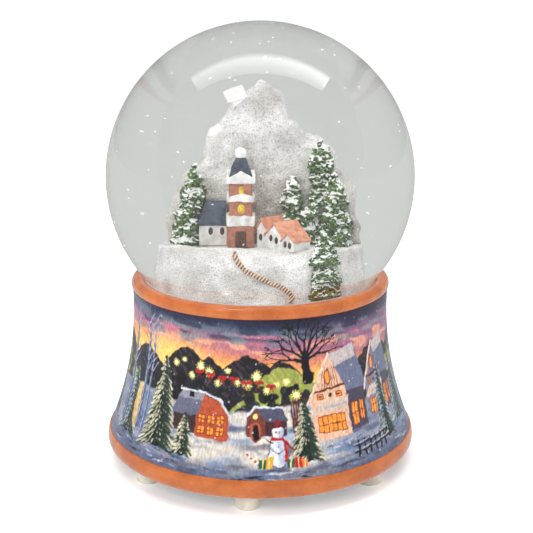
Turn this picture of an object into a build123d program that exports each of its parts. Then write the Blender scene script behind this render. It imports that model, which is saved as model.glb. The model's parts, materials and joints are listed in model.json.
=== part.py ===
from build123d import *
from math import atan2, cos, degrees, pi, radians, sin, sqrt
import os

# Water globe on a flared glazed base, with a wind-up musical movement under it.
# Millimetres, +Z up, -Y is the front, origin on the table under the middle.

# ---- ball and neck ----
globe_r = 50.0
glass_wall = 2.0
neck_r = 35.0
neck_drop = 7.3
seal_t = 0.8
# ---- base ----
base_h = 62.0
foot_h = 5.2
band_h = 6.4
band_r = 51.9
band_lip = 2.3
skin_step = 1.0
skin_waist_r = 43.94
skin_top_r = 42.2
skin_t = 0.4
shell_wall = 4.0
bead_r = 2.3
bead_ring_r = 40.4
bead_drop = 1.1
deck_t = 6.0
stopper_flange = 1.2
stopper_flange_t = 2.0
bore_clear = 0.2
# ---- bottom plate, feet and screws ----
plate_t = 3.0
plate_edge = 3.3
plate_clear = 0.2
well_r = 21.0
well_wall = 2.0
well_depth = 11.8
foot_r = 4.15
foot_pin_r = 2.0
foot_knob_r = 2.5
foot_inset = 4.6
foot_angles = (-145.0, -95.0, -37.0, 35.0, 85.0, 143.0)
foot_names = ("front_left", "front", "front_right", "back_right", "back", "back_left")
boss_r = 4.0
boss_h = 9.5
boss_inset = 7.6
boss_angles = (-66.0, 0.0, 114.0, 180.0)
plate_screw_r = 1.3
plate_screw_head_r = 2.9
plate_screw_len = 9.2
screw_clear = 0.2
head_sink = 1.6
move_screw_r = 1.1
# ---- musical movement ----
bed_t = 2.0
arbor_r = 2.2
arbor_hub_r = 3.2
run_clear = 0.08
crown_teeth = 36
pinion_teeth = 12
crown_module = 25.0 / 36.0
crown_face = 2.2
crown_disc_t = 0.8
crown_gap = 0.3
drum_r = 6.5
drum_len = 17.0
drum_start = 15.5
drum_arbor_r = 1.2
pin_r = 0.22
pin_h = 0.35
note_count = 18
note_margin = 0.7
note_beats = 4
train_module = 0.65
drum_gear_teeth = 30
gov_pinion_teeth = 10
gear_face = 1.4
worm_module = 0.6
worm_wheel_teeth = 16
worm_pitch_r = 1.7
worm_thread_h = 0.45
worm_wheel_x = 22.0
worm_wheel_t = 1.6
gov_arbor_r = 0.8
fly_arbor_r = 0.6
fly_vane_r = 4.6
fly_vane_h = 6.0
fly_vane_t = 0.5
bracket_t = 1.2
bracket_w = 4.4
spring_case_r = 10.5
spring_case_h = 10.0
spring_case_wall = 0.8
spring_case_gap = 0.7
spring_turns = 6.0
spring_t = 0.35
leg_w = 4.0
leg_t = 1.2
leg_post_t = 1.3
frame_foot_t = 1.0
leg_angles = (100.0, 180.0, 260.0)
leg_screw_ring = 17.0
move_screw_angles = (60.0, 220.0, 320.0)
move_screw_ring = 17.0
comb_t = 0.8
comb_gap = 0.2
comb_tooth_len = 10.2
comb_base_w = 4.6
comb_screw_r = 0.9
small_screw_r = 0.8
small_head_r = 1.2
frame_screw_gap = 4.5
frame_screw_y = 5.8
key_span = 12.5
key_t = 1.8
key_lift = 1.2
key_hub_r = 3.8
# ---- cast scene in the water ----
hill_r = 26.8
hill_top_r = 24.4
terrace_h = 18.0
peak_h = 37.2
path_w = 1.25
house_yaw = -45.0
tower_x = -4.8
tower_y = -1.0
tower_ledge = 23.3
tower_eave = 35.3
tower_roof_h = 4.8
nave_x = -14.9
nave_y = 3.4
nave_w = 6.8
nave_len = 6.75
nave_eave = 5.6
nave_ridge = 10.0
scene_clear = 0.5
flake_count = 80
flake_r = 0.34
flake_t = 0.16

# ---- places that follow from the sizes above ----
table_z = 0.0
base_z = table_z + foot_h
plate_top = base_z + plate_t
band_top = base_z + band_h
skin_low_r = band_r - skin_step
seat_r = bead_ring_r - bead_r + 0.3
globe_z = base_h - 0.26 + sqrt((globe_r + seal_t) ** 2 - seat_r ** 2)
bead_z = base_h - bead_drop
in_r = globe_r - glass_wall
neck_in_r = neck_r - glass_wall
neck_join_z = globe_z - sqrt(globe_r ** 2 - neck_r ** 2)
stopper_top = globe_z - sqrt(in_r ** 2 - neck_in_r ** 2)
neck_low_z = neck_join_z - neck_drop
flange_low_z = neck_low_z - stopper_flange_t
deck_low_z = min(neck_low_z, bead_z - bead_r - deck_t)
bore_r = neck_r + stopper_flange + bore_clear
shell_open_r = band_r - plate_edge + plate_clear
plate_r = shell_open_r - plate_clear
foot_ring = plate_r - foot_inset
boss_ring = plate_r - boss_inset
well_top = base_z + well_depth
bed_z = well_top + well_wall
bed_top = bed_z + bed_t
crown_r = crown_module * crown_teeth / 2
pinion_r = crown_module * pinion_teeth / 2
crown_low = bed_top + crown_gap
crown_root = crown_low + crown_disc_t
tooth_up = 0.86 * crown_module
tooth_down = 1.05 * crown_module
axis_z = crown_root + tooth_down + pinion_r
drum_gear_r = train_module * drum_gear_teeth / 2
gov_pinion_r = train_module * gov_pinion_teeth / 2
gov_y = drum_gear_r + gov_pinion_r
worm_wheel_r = worm_module * worm_wheel_teeth / 2
fly_y = gov_y + worm_wheel_r + worm_pitch_r
drum_end = drum_start + drum_len
gear_x = drum_end + 0.7
bracket_x = gear_x + gear_face + 1.0
bed_end = bracket_x + bracket_t
case_low = crown_root + tooth_down + tooth_up + spring_case_gap
case_top = case_low + spring_case_h
terrace_z = stopper_top + terrace_h

UP = (Align.CENTER, Align.CENTER, Align.MIN)


def rod(radius, z0, z1, x=0.0, y=0.0):
    return Pos(x, y, z0) * Cylinder(radius, z1 - z0, align=UP)


def rod_x(radius, x0, x1, y, z):
    bar = Cylinder(radius, x1 - x0, align=UP)
    return Pos(x0, y, z) * Rot(0, 90, 0) * bar


def block(x0, x1, y0, y1, z0, z1):
    middle = Pos((x0 + x1) / 2, (y0 + y1) / 2, (z0 + z1) / 2)
    return middle * Box(x1 - x0, y1 - y0, z1 - z0)


def polar(ring, angle):
    return ring * cos(radians(angle)), ring * sin(radians(angle))


def turned(edges):
    return revolve(make_face([Plane.XZ * e for e in edges]), Axis.Z)


def flare(inset):
    waist_z = (band_top + bead_z - bead_r) / 2
    low = (skin_low_r - inset, band_top)
    waist = (skin_waist_r - inset, waist_z)
    top = (skin_top_r - inset, bead_z - bead_r)
    return ThreePointArc(low, waist, top)


def flared_solid(inset, z_low, z_high):
    arc = flare(inset)
    top = arc @ 1
    low = arc @ 0
    edges = [arc]
    edges += [Line((top.X, top.Y), (top.X, bead_z)), Line((top.X, bead_z), (0, bead_z))]
    edges += [Line((0, bead_z), (0, table_z)), Line((0, table_z), (low.X, table_z))]
    edges += [Line((low.X, table_z), (low.X, low.Y))]
    solid = turned(edges)
    return solid & rod(2 * band_r, z_low, z_high)


def ball(radius):
    return Pos(0, 0, globe_z) * Sphere(radius)


# ---- ball, stopper and seal ----

def glass_globe():
    outside = ball(globe_r) & rod(2 * globe_r, neck_join_z, globe_z + 2 * globe_r)
    outside = outside + rod(neck_r, neck_low_z, neck_join_z + glass_wall)
    inside = ball(in_r) & rod(2 * globe_r, stopper_top, globe_z + 2 * globe_r)
    inside = inside + rod(neck_in_r, neck_low_z, stopper_top + glass_wall)
    return outside - inside


def globe_stopper():
    plug = rod(neck_in_r, flange_low_z, stopper_top)
    flange = rod(neck_r + stopper_flange, flange_low_z, neck_low_z)
    pocket = rod(neck_in_r - 5, flange_low_z, flange_low_z + 3)
    return plug + flange - pocket


def globe_seal():
    ring = ball(globe_r + seal_t) - ball(globe_r)
    low = globe_z - sqrt((globe_r + seal_t) ** 2 - bore_r ** 2)
    return ring & (rod(seat_r, low, bead_z + bead_r) - rod(bore_r, low - 1, bead_z + 2 * bead_r))


# ---- base ----

def bottom_band():
    outline = ThreePointArc((band_r - band_lip, base_z), (band_r, base_z + 0.5 * band_h),
                            (band_r - 0.4, band_top))
    edges = [outline, Line((band_r - 0.4, band_top), (0, band_top))]
    edges += [Line((0, band_top), (0, base_z)), Line((0, base_z), (band_r - band_lip, base_z))]
    return turned(edges)


def base_shell():
    body = flared_solid(skin_t, band_top - 1, bead_z) + bottom_band()
    body = body + Pos(0, 0, bead_z) * Torus(bead_ring_r, bead_r)
    cavity = flared_solid(skin_t + shell_wall, plate_top, deck_low_z)
    body = body - cavity
    body = body - rod(shell_open_r, base_z - 1, plate_top)
    body = body - rod(bore_r, deck_low_z - 1, bead_z + 2 * bead_r)
    body = body - ball(globe_r + seal_t)
    for angle in boss_angles:
        x, y = polar(boss_ring, angle)
        post = rod(boss_r, plate_top, plate_top + boss_h, x, y)
        hole = rod(plate_screw_r, plate_top - 1, base_z + head_sink + plate_screw_len + 0.5, x, y)
        body = body + post - hole
    return body


def picture_wrap(shell):
    skin = flared_solid(0, band_top, bead_z) - flared_solid(skin_t, band_top - 1, bead_z + 1)
    skin = skin - shell
    return max(skin.solids(), key=lambda s: s.volume)


def bottom_plate():
    plate = rod(plate_r, base_z, plate_top) + rod(well_r + well_wall, base_z, bed_z)
    plate = plate - rod(well_r, base_z - 1, well_top)
    plate = plate - rod(arbor_r + run_clear, well_top - 1, bed_z + 1)
    for angle in boss_angles:
        x, y = polar(boss_ring, angle)
        plate = plate - rod(plate_screw_head_r + screw_clear, base_z - 1, base_z + head_sink, x, y)
        plate = plate - rod(plate_screw_r + screw_clear, base_z, plate_top + 1, x, y)
    for angle in foot_angles:
        x, y = polar(foot_ring, angle)
        plate = plate - rod(foot_pin_r, base_z - 1, plate_top + 1, x, y)
    for angle in move_screw_angles:
        x, y = polar(move_screw_ring, angle)
        plate = plate - rod(move_screw_r + screw_clear, well_top - 1, bed_z + 1, x, y)
    return plate


def foot(angle):
    x, y = polar(foot_ring, angle)
    pad = fillet(rod(foot_r, table_z, base_z).edges().group_by(Axis.Z)[0], 0.5)
    pin = rod(foot_pin_r, base_z, plate_top)
    knob = rod(foot_knob_r, plate_top, plate_top + 1.4)
    return Pos(x, y, 0) * (pad + pin + knob)


def screw(radius, head_r, head_t, length, head_z, up, x, y):
    if up:
        body = rod(head_r, head_z - head_t, head_z, x, y) + rod(radius, head_z, head_z + length, x, y)
        face = head_z - head_t
        slot = block(x - head_r, x + head_r, y - 0.3, y + 0.3, face - 1, face + 0.5)
    else:
        body = rod(head_r, head_z, head_z + head_t, x, y) + rod(radius, head_z - length, head_z, x, y)
        face = head_z + head_t
        slot = block(x - head_r, x + head_r, y - 0.25, y + 0.25, face - 0.4, face + 1)
    return body - slot


def plate_screws():
    screws = []
    for angle in boss_angles:
        x, y = polar(boss_ring, angle)
        screws.append(screw(plate_screw_r, plate_screw_head_r, 1.3, plate_screw_len,
                            base_z + head_sink, True, x, y))
    return Compound(children=screws)


def movement_screws():
    screws = []
    for angle in move_screw_angles:
        x, y = polar(move_screw_ring, angle)
        screws.append(screw(move_screw_r, 2 * move_screw_r, 1.3, well_wall + bed_t + 0.4,
                            well_top, True, x, y))
    return Compound(children=screws)


# ---- gears ----

def tooth_ring(teeth, pitch_r, up, down, half, width, phase):
    # straight-sided teeth about +Z, from the root circle to the tip circle
    tip = pitch_r + up
    root = pitch_r - down
    edge = [(root - 0.4, -half * 1.5), (tip, -half * 0.5), (tip, half * 0.5), (root - 0.4, half * 1.5)]
    tooth = extrude(make_face(Polyline(*edge, close=True)), width)
    wheel = Cylinder(root, width, align=UP)
    step = 360.0 / teeth
    return wheel + [Rot(0, 0, step * (i + phase)) * tooth for i in range(teeth)]


def along_x(shape, x, y, z):
    # stands a +Z wheel on the +X axis, its first tooth still towards +Y
    return Pos(x, y, z) * Rot(0, 90, 0) * Rot(0, 0, 90) * shape


def main_gear():
    disc = rod(crown_r + crown_face / 2, crown_low, crown_root)
    half = 0.6 * crown_module
    low = crown_root - 0.2
    high = crown_root + tooth_down + tooth_up
    edge = [(-half * 1.5, low), (half * 1.5, low), (half * 0.55, high), (-half * 0.55, high)]
    tooth = extrude(make_face(Plane.YZ * Polyline(*edge, close=True)), crown_face)
    tooth = Pos(crown_r - crown_face / 2, 0, 0) * tooth
    step = 360.0 / crown_teeth
    wheel = disc + [Rot(0, 0, step * (i + 0.5)) * tooth for i in range(crown_teeth)]
    wheel = wheel & rod(crown_r + crown_face / 2, crown_low, high)
    return wheel - rod(arbor_r + run_clear, crown_low - 1, high)


def drum():
    body = rod_x(drum_r, drum_start, drum_end, 0, axis_z)
    body = body + rod_x(drum_arbor_r, drum_start - 4.3, bed_end + 0.6, 0, axis_z)
    half = 0.6 * crown_module
    pinion = tooth_ring(pinion_teeth, pinion_r, tooth_up, tooth_down, half, 1.8, 0)
    body = body + along_x(pinion, crown_r - 0.9, 0, axis_z)
    gear = tooth_ring(drum_gear_teeth, drum_gear_r, 0.85 * train_module, 1.08 * train_module,
                      0.6 * train_module, gear_face, 0)
    body = body + along_x(gear, gear_x, 0, axis_z)
    pins = []
    pitch = (drum_len - 2 * note_margin) / (note_count - 1)
    for note in range(note_count):
        for beat in range(note_beats):
            turn = 360.0 / note_beats * beat + 37.0 * note * (note + 3)
            pin = Cylinder(pin_r, drum_r + pin_h, align=UP)
            pins.append(Pos(drum_start + note_margin + pitch * note, 0, axis_z) * Rot(turn, 0, 0) * pin)
    return body + pins


def governor_wheel():
    shaft = rod_x(gov_arbor_r, worm_wheel_x - 4.6, bed_end + 0.6, gov_y, axis_z)
    pinion = tooth_ring(gov_pinion_teeth, gov_pinion_r, 0.85 * train_module, 1.08 * train_module,
                        0.6 * train_module, gear_face, 0.5)
    wheel = tooth_ring(worm_wheel_teeth, worm_wheel_r, 0.75 * worm_module, 0.92 * worm_module,
                       0.62 * worm_module, worm_wheel_t, 0.5)
    body = shaft + along_x(pinion, gear_x, gov_y, axis_z)
    return body + along_x(wheel, worm_wheel_x - worm_wheel_t / 2, gov_y, axis_z)


def governor_fly():
    # one right-hand thread: the wheel's gap at its +Y side holds a crest that faces -Y
    lead = pi * worm_module
    root = worm_pitch_r - 0.6
    shaft_top = case_top + 5.6
    body = rod(fly_arbor_r, bed_top + 0.2, shaft_top) + rod(root, axis_z - 2.2 * lead, axis_z + 2.2 * lead)
    turns = 4
    start = axis_z - turns / 2 * lead
    path = Pos(0, 0, start) * Helix(lead, turns * lead, root)
    tip = worm_pitch_r + worm_thread_h - root
    edge = [(-0.25, -0.36), (tip, -0.14), (tip, 0.14), (-0.25, 0.36)]
    frame = Plane(origin=path @ 0, x_dir=(1, 0, 0), z_dir=path % 0)
    thread = sweep(frame * make_face(Polyline(*edge, close=True)), path, is_frenet=True)
    body = body + Rot(0, 0, -90) * thread
    vane_z = case_top - 2.6
    vanes = block(-fly_vane_r, fly_vane_r, -fly_vane_t / 2, fly_vane_t / 2, vane_z, vane_z + fly_vane_h)
    return Pos(worm_wheel_x, fly_y, 0) * (body + rod(1.3, vane_z, vane_z + fly_vane_h) + vanes)


# ---- fixed parts of the movement ----

def sunk_half(radius):
    # half the width of the opening that a wheel or drum of this radius needs in the bedplate
    return sqrt(max(radius ** 2 - (axis_z - bed_top) ** 2, 0)) + 0.6


def bedplate():
    rim = bed_end + 3.0
    plate = block(-16, bed_end, -22.4, 27.2, bed_z, bed_top) & rod(rim, bed_z, bed_top)
    slot_half = sunk_half(drum_gear_r + train_module)
    plate = plate - block(gear_x - 0.4, gear_x + gear_face + 0.4, -slot_half, slot_half,
                          bed_z - 1, bed_top + 1)
    drum_half = sunk_half(drum_r + pin_h)
    plate = plate - block(drum_start - 0.3, drum_end + 0.3, -drum_half, drum_half,
                          bed_z - 1, bed_top + 1)
    half = bracket_w / 2
    top = axis_z + 2.4
    inner = block(drum_start - 1.4, drum_start - 0.4, -half, half, bed_z, top)
    gov = block(worm_wheel_x - 4.4, worm_wheel_x - 3.2, gov_y - 2, gov_y + 2, bed_z, top)
    outer = block(bracket_x, bracket_x + bracket_t, -half, gov_y + 2, bed_z, top)
    rib = block(drum_start + 0.4, drum_end - 0.4, comb_back(), comb_back() + comb_base_w, bed_z, comb_z())
    plate = plate + inner + gov + outer + (rib & rod(rim, bed_z, comb_z()))
    plate = plate - rod_x(drum_arbor_r + run_clear, drum_start - 2, bed_end + 1, 0, axis_z)
    plate = plate - rod_x(gov_arbor_r + run_clear, worm_wheel_x - 5, bed_end + 1, gov_y, axis_z)
    plate = plate - rod(arbor_r + run_clear, bed_z - 1, bed_top + 1)
    for angle in move_screw_angles:
        x, y = polar(move_screw_ring, angle)
        plate = plate - rod(move_screw_r, bed_z - 1, bed_top + 1, x, y)
    for angle in leg_angles:
        x, y = polar(leg_screw_ring, angle)
        plate = plate - rod(small_screw_r, bed_z + 0.3, bed_top + 1, x, y)
    for x in comb_screw_x():
        plate = plate - rod(comb_screw_r, bed_top, comb_z() + 1, x, comb_back() + comb_base_w / 2)
    for x in (worm_wheel_x - frame_screw_gap, worm_wheel_x + frame_screw_gap):
        plate = plate - rod(small_screw_r, bed_z + 0.3, bed_top + 1, x, fly_y + frame_screw_y)
    return plate


def comb_z():
    return axis_z - comb_t / 2


def comb_back():
    return -(drum_r + pin_h + comb_gap + comb_tooth_len + comb_base_w)


def comb_screw_x():
    return (drum_start + 4.0, drum_end - 4.0)


def comb():
    tip = -(drum_r + pin_h + comb_gap)
    root = tip - comb_tooth_len
    plate = block(drum_start + 0.1, drum_end - 0.1, comb_back(), root, comb_z(), comb_z() + comb_t)
    pitch = (drum_len - 2 * note_margin) / (note_count - 1)
    for note in range(note_count):
        x = drum_start + note_margin + pitch * note
        plate = plate + block(x - 0.3, x + 0.3, root - 0.2, tip, comb_z() + 0.15, comb_z() + comb_t - 0.15)
    for x in comb_screw_x():
        y = comb_back() + comb_base_w / 2
        plate = plate - rod(comb_screw_r + run_clear, comb_z() - 1, comb_z() + 2, x, y)
    return plate


def comb_screws():
    screws = []
    for x in comb_screw_x():
        y = comb_back() + comb_base_w / 2
        screws.append(screw(comb_screw_r, 2 * comb_screw_r, 1.1, comb_t + 4, comb_z() + comb_t, False, x, y))
    return Compound(children=screws)


def spring_case():
    wall = spring_case_wall
    inside = rod(spring_case_r - wall, case_low + wall, case_top - wall)
    case = rod(spring_case_r, case_low, case_top) - inside
    post_r = crown_r + crown_face / 2 + 0.7
    post_end = post_r + leg_post_t
    half = leg_w / 2
    leg = block(spring_case_r - wall / 2, post_end, -half, half, case_low, case_low + leg_t)
    leg = leg + block(post_r, post_end, -half, half, bed_top, case_low + leg_t)
    leg = leg + block(post_r, leg_screw_ring + 2.2, -half, half, bed_top, bed_top + leg_t)
    leg = leg - rod(small_screw_r + run_clear, bed_top - 1, bed_top + 2, leg_screw_ring, 0)
    case = case + [Rot(0, 0, angle) * leg for angle in leg_angles]
    case = case - inside
    return case - rod(arbor_r + run_clear, case_low - 1, case_top + 1)


def movement_small_screws():
    screws = []
    for angle in leg_angles:
        x, y = polar(leg_screw_ring, angle)
        screws.append(screw(small_screw_r, small_head_r, 0.9, 2.8, bed_top + leg_t, False, x, y))
    for x in (worm_wheel_x - frame_screw_gap, worm_wheel_x + frame_screw_gap):
        screws.append(screw(small_screw_r, small_head_r, 0.9, 2.6, bed_top + frame_foot_t, False,
                            x, fly_y + frame_screw_y))
    return Compound(children=screws)


def mainspring():
    low = case_low + spring_case_wall
    first = arbor_hub_r + 0.12
    last = spring_case_r - spring_case_wall - spring_t - 0.1
    steps = int(spring_turns * 20)
    inner = []
    outer = []
    for i in range(steps + 1):
        share = i / steps
        radius = first + (last - first) * share
        angle = 360.0 * spring_turns * share
        inner.append(polar(radius, angle))
        outer.append(polar(radius + spring_t, angle))
    outline = Polyline(*inner, *reversed(outer), close=True)
    tall = case_top - case_low - 2 * spring_case_wall - 0.4
    return Pos(0, 0, low) * extrude(make_face(outline), tall)


def governor_frame():
    y = fly_y + 5.0
    top = case_top + 5.2
    foot_plate = block(worm_wheel_x - 6.2, worm_wheel_x + 6.2, y - 0.4, y + 2.4,
                       bed_top, bed_top + frame_foot_t)
    post = block(worm_wheel_x - 2, worm_wheel_x + 2, y, y + 1.2, bed_top, top)
    arm = block(worm_wheel_x - 2, worm_wheel_x + 2, fly_y - 2, y + 1.2, top - 1.2, top)
    frame = foot_plate + post + arm - rod(fly_arbor_r + run_clear, top - 3, top + 1, worm_wheel_x, fly_y)
    for x in (worm_wheel_x - frame_screw_gap, worm_wheel_x + frame_screw_gap):
        frame = frame - rod(small_screw_r + run_clear, bed_top - 1, bed_top + 2, x, fly_y + frame_screw_y)
    return frame


def winding_arbor():
    shaft = rod(arbor_r, base_z + key_lift + 2.6, case_top + 0.8)
    low = case_low + spring_case_wall + 0.3
    high = case_top - spring_case_wall - 0.3
    return shaft + rod(arbor_hub_r, low, high)


def winding_key():
    low = base_z + key_lift
    high = well_top - 1.4
    wing_r = (high - low) / 2
    lobe = Rot(90, 0, 0) * Cylinder(wing_r, key_t)
    reach = key_span - wing_r
    right = Pos(reach, 0, low + wing_r)
    left = Pos(-reach, 0, low + wing_r)
    bar = block(-reach, reach, -key_t / 2, key_t / 2, low + 1.5, high - 1.5)
    eye = Rot(90, 0, 0) * Cylinder(wing_r - 2.2, key_t + 1)
    wings = right * lobe + left * lobe + bar - right * eye - left * eye
    return wings + rod(key_hub_r, low + 0.8, high + 0.6) - winding_arbor()


# ---- the cast scene: heights are above the stopper's top ----

def hill_blank(dy, dz):
    side = [(-27.0, 0), (-27.0, 2.2), (-25.0, 4.0), (-23.2, 9.0), (-20.5, 14.5), (-17.5, 17.0),
            (-14.0, terrace_h - 0.2), (-10.0, terrace_h), (hill_r, terrace_h), (hill_r, 0)]
    wedge = extrude(make_face(Plane.YZ * Polyline(*side, close=True)), hill_r, both=True)
    drum_shape = Cone(hill_r + 0.3 * dz, hill_top_r + 0.3 * dz, terrace_h, align=UP)
    bank = Pos(0, dy, dz + stopper_top) * (wedge & drum_shape)
    return bank & rod(2 * globe_r, stopper_top, globe_z + globe_r) & ball(in_r - scene_clear)


def stair_path(hill):
    line = [(-6.8, 17.9), (-5.6, 15.4), (-3.8, 13.4), (-1.0, 12.0), (2.1, 10.5), (5.2, 9.2), (7.5, 7.6),
            (8.9, 5.8), (8.5, 3.6)]
    left = []
    right = []
    for i, (x, z) in enumerate(line):
        ax, az = line[max(i - 1, 0)]
        bx, bz = line[min(i + 1, len(line) - 1)]
        size = sqrt((bx - ax) ** 2 + (bz - az) ** 2)
        nx = (az - bz) / size * path_w / 2
        nz = (bx - ax) / size * path_w / 2
        left.append((x + nx, z + nz))
        right.append((x - nx, z - nz))
    ribbon = make_face(Plane.XZ * Polyline(*left, *reversed(right), close=True))
    ribbon = Pos(0, 0, stopper_top) * extrude(ribbon, hill_r + 5, both=True)
    front = block(-hill_r, hill_r, -hill_r - 5, -13.0, stopper_top, terrace_z + 5)
    path = (hill_blank(-0.6, 0.25) & ribbon & front) - hill
    return max(path.solids(), key=lambda s: s.volume)


def mountain_blank():
    front = [(-20.6, 0), (-20.4, 6.0), (-19.6, 10.5), (-17.4, 15.6), (-13.6, 18.3), (-11.2, 23.0),
             (-8.6, 28.0), (-6.8, 32.4), (-3.0, 35.0), (0.5, peak_h), (3.4, 35.0), (5.5, 31.2),
             (6.0, 28.8), (8.0, 28.0), (10.4, 23.6), (14.2, 22.4), (17.6, 20.0), (20.9, 12.0),
             (23.2, 2.5), (23.6, 0)]
    side = [(3.0, 0), (5.0, 12.0), (8.0, 28.0), (10.0, peak_h), (14.0, peak_h), (20.0, 22.0), (25.0, 0)]
    facing = extrude(make_face(Plane.XZ * Polyline(*front, close=True)), hill_r, both=True)
    depth = extrude(make_face(Plane.YZ * Polyline(*side, close=True)), hill_r, both=True)
    return Pos(0, 0, terrace_z) * (facing & depth & Cylinder(hill_top_r - 0.4, peak_h, align=UP))


def fir(x, y, low, height, radius):
    # three tiers of branches on a short trunk
    tree = rod(0.9, low - 0.6, low + 0.2 * height)
    for tier in range(3):
        start = low + 0.8 + tier * 0.27 * height
        reach = radius * (1 - 0.12 * tier)
        tip = reach * 0.5 if tier < 2 else 0.6
        tall = 0.4 * height if tier < 2 else low + height - start
        tree = tree + Pos(0, 0, start) * Cone(reach, tip, tall, align=UP)
    return Pos(x, y, stopper_top) * tree


def gable_walls(width, length, eave, ridge):
    end = [(-width / 2, 0), (width / 2, 0), (width / 2, eave), (0, ridge), (-width / 2, eave)]
    return extrude(make_face(Plane.XZ * Polyline(*end, close=True)), -length)


def gable_roof(width, length, eave, ridge, over, thick):
    rise = (ridge - eave) / (width / 2)
    out = width / 2 + over
    drop = rise * over
    end = [(-out, eave - drop), (0, ridge), (out, eave - drop), (out, eave - drop + thick),
           (0, ridge + thick), (-out, eave - drop + thick)]
    return Pos(0, -over, 0) * extrude(make_face(Plane.XZ * Polyline(*end, close=True)), -(length + over))


def house_place(x, y):
    return Pos(x, y, terrace_z - 0.2) * Rot(0, 0, house_yaw)


houses = {
    "upper": (0.35, -4.75, 3.4, 7.0, 4.8, 7.2),
    "middle": (3.4, -8.6, 6.2, 8.0, 3.6, 6.6),
    "lower": (6.95, -12.55, 4.4, 6.0, 2.6, 4.6),
}


def church_tower():
    x, y = tower_x, tower_y
    wide, slim = 3.3, 2.8
    ledge_z = stopper_top + tower_ledge
    low = block(x - wide, x + wide, y - wide, y + wide, terrace_z, ledge_z)
    return low + block(x - slim, x + slim, y - slim, y + slim, ledge_z, stopper_top + tower_eave + 0.3)


def tower_bands(tower, roof):
    # each band runs round the tower, and the upper two rise to a small gable on every face
    x, y = tower_x, tower_y
    rings = []
    sizes = ((tower_ledge, 25.9, 3.45, 0), (29.4, 30.6, 3.3, 0.9), (34.0, tower_eave, 3.5, 1.7))
    for z0, z1, half, rise in sizes:
        ring = block(x - half, x + half, y - half, y + half, stopper_top + z0, stopper_top + z1)
        if rise:
            end = [(-half, z1 - 0.2), (half, z1 - 0.2), (half, z1), (0, z1 + rise), (-half, z1)]
            for plane in (Plane.XZ, Plane.YZ):
                gable = extrude(make_face(plane * Polyline(*end, close=True)), half, both=True)
                ring = ring + Pos(x, y, stopper_top) * gable
        rings.append(ring - tower - roof)
    return Compound(children=[r.solids()[0] for r in rings])


def hip_cut(inset):
    # what lies beyond the sloping left end of the nave roof
    end = [(-15.4 + inset, 5.2), (-12.4 + inset, 12.0), (-20, 12.0), (-20, 5.2)]
    return Pos(0, 0, terrace_z) * extrude(make_face(Plane.XZ * Polyline(*end, close=True)), hill_r, both=True)


def hipped_roof(width, length, eave, ridge, over, thick):
    drop = (ridge - eave) / (width / 2) * over
    out = width / 2 + over
    end = [(-out, eave - drop), (out, eave - drop), (out, eave - drop + thick), (0, ridge + thick),
           (-out, eave - drop + thick)]
    return Pos(0, -over, 0) * extrude(make_face(Plane.XZ * Polyline(*end, close=True)), -(length + over))


def tower_roof():
    low = stopper_top + tower_eave
    high = low + tower_roof_h
    base = Plane((tower_x, tower_y, low)) * Rectangle(6.0, 6.0)
    top = Plane((tower_x, tower_y, high)) * Rectangle(2.2, 2.2)
    cap = Pos(tower_x, tower_y, high + 1.0) * Sphere(1.45)
    return loft([base, top]) + (cap & rod(2, high, high + 3.2, tower_x, tower_y))


def snow_flakes():
    flakes = []
    golden = 137.508
    for i in range(flake_count):
        share = (i + 0.5) / flake_count
        z = stopper_top + 9 + share * (in_r * 1.45)
        widest = sqrt(max(in_r ** 2 - (z - globe_z) ** 2, 0)) - 2.0
        # beside the hill, beside the mountain, then above them both
        if z < terrace_z + 2:
            clear = hill_r + 1.6
        elif z < terrace_z + peak_h + 2:
            clear = hill_r + 0.7
        else:
            clear = 2.0
        reach = clear + (widest - clear) * ((i * 7) % 10) / 10.0
        x, y = polar(reach, golden * i)
        tilt = Rot(40.0 * sin(i * 1.7), 50.0 * cos(i * 2.3), 0)
        flakes.append(Pos(x, y, z) * tilt * Cylinder(flake_r * (0.7 + 0.06 * (i % 6)), flake_t))
    return Compound(children=flakes)


def water(solids):
    body = ball(in_r) & rod(2 * globe_r, stopper_top, globe_z + globe_r)
    for solid in solids:
        body = body - solid
    return max(body.solids(), key=lambda s: s.volume)


# ---- build every piece, then cut each one to the pieces it stands in ----

nodes = {}
nodes["glass_globe"] = glass_globe()
nodes["globe_stopper"] = globe_stopper()
nodes["base_shell"] = base_shell()
nodes["globe_seal"] = globe_seal() - nodes["base_shell"]
nodes["picture_wrap"] = picture_wrap(nodes["base_shell"])
nodes["bottom_plate"] = bottom_plate()
for name, angle in zip(foot_names, foot_angles):
    nodes["foot_" + name] = foot(angle)
nodes["plate_screws"] = plate_screws()
nodes["movement_screws"] = movement_screws()
nodes["bedplate"] = bedplate()
nodes["spring_case"] = spring_case()
nodes["mainspring"] = mainspring()
nodes["small_screws"] = movement_small_screws()
nodes["governor_frame"] = governor_frame()
nodes["comb"] = comb()
nodes["comb_screws"] = comb_screws()
nodes["winding_arbor"] = winding_arbor()
nodes["winding_key"] = winding_key()
nodes["main_gear"] = main_gear()
nodes["drum"] = drum()
nodes["governor_wheel"] = governor_wheel()
nodes["governor_fly"] = governor_fly()

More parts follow.
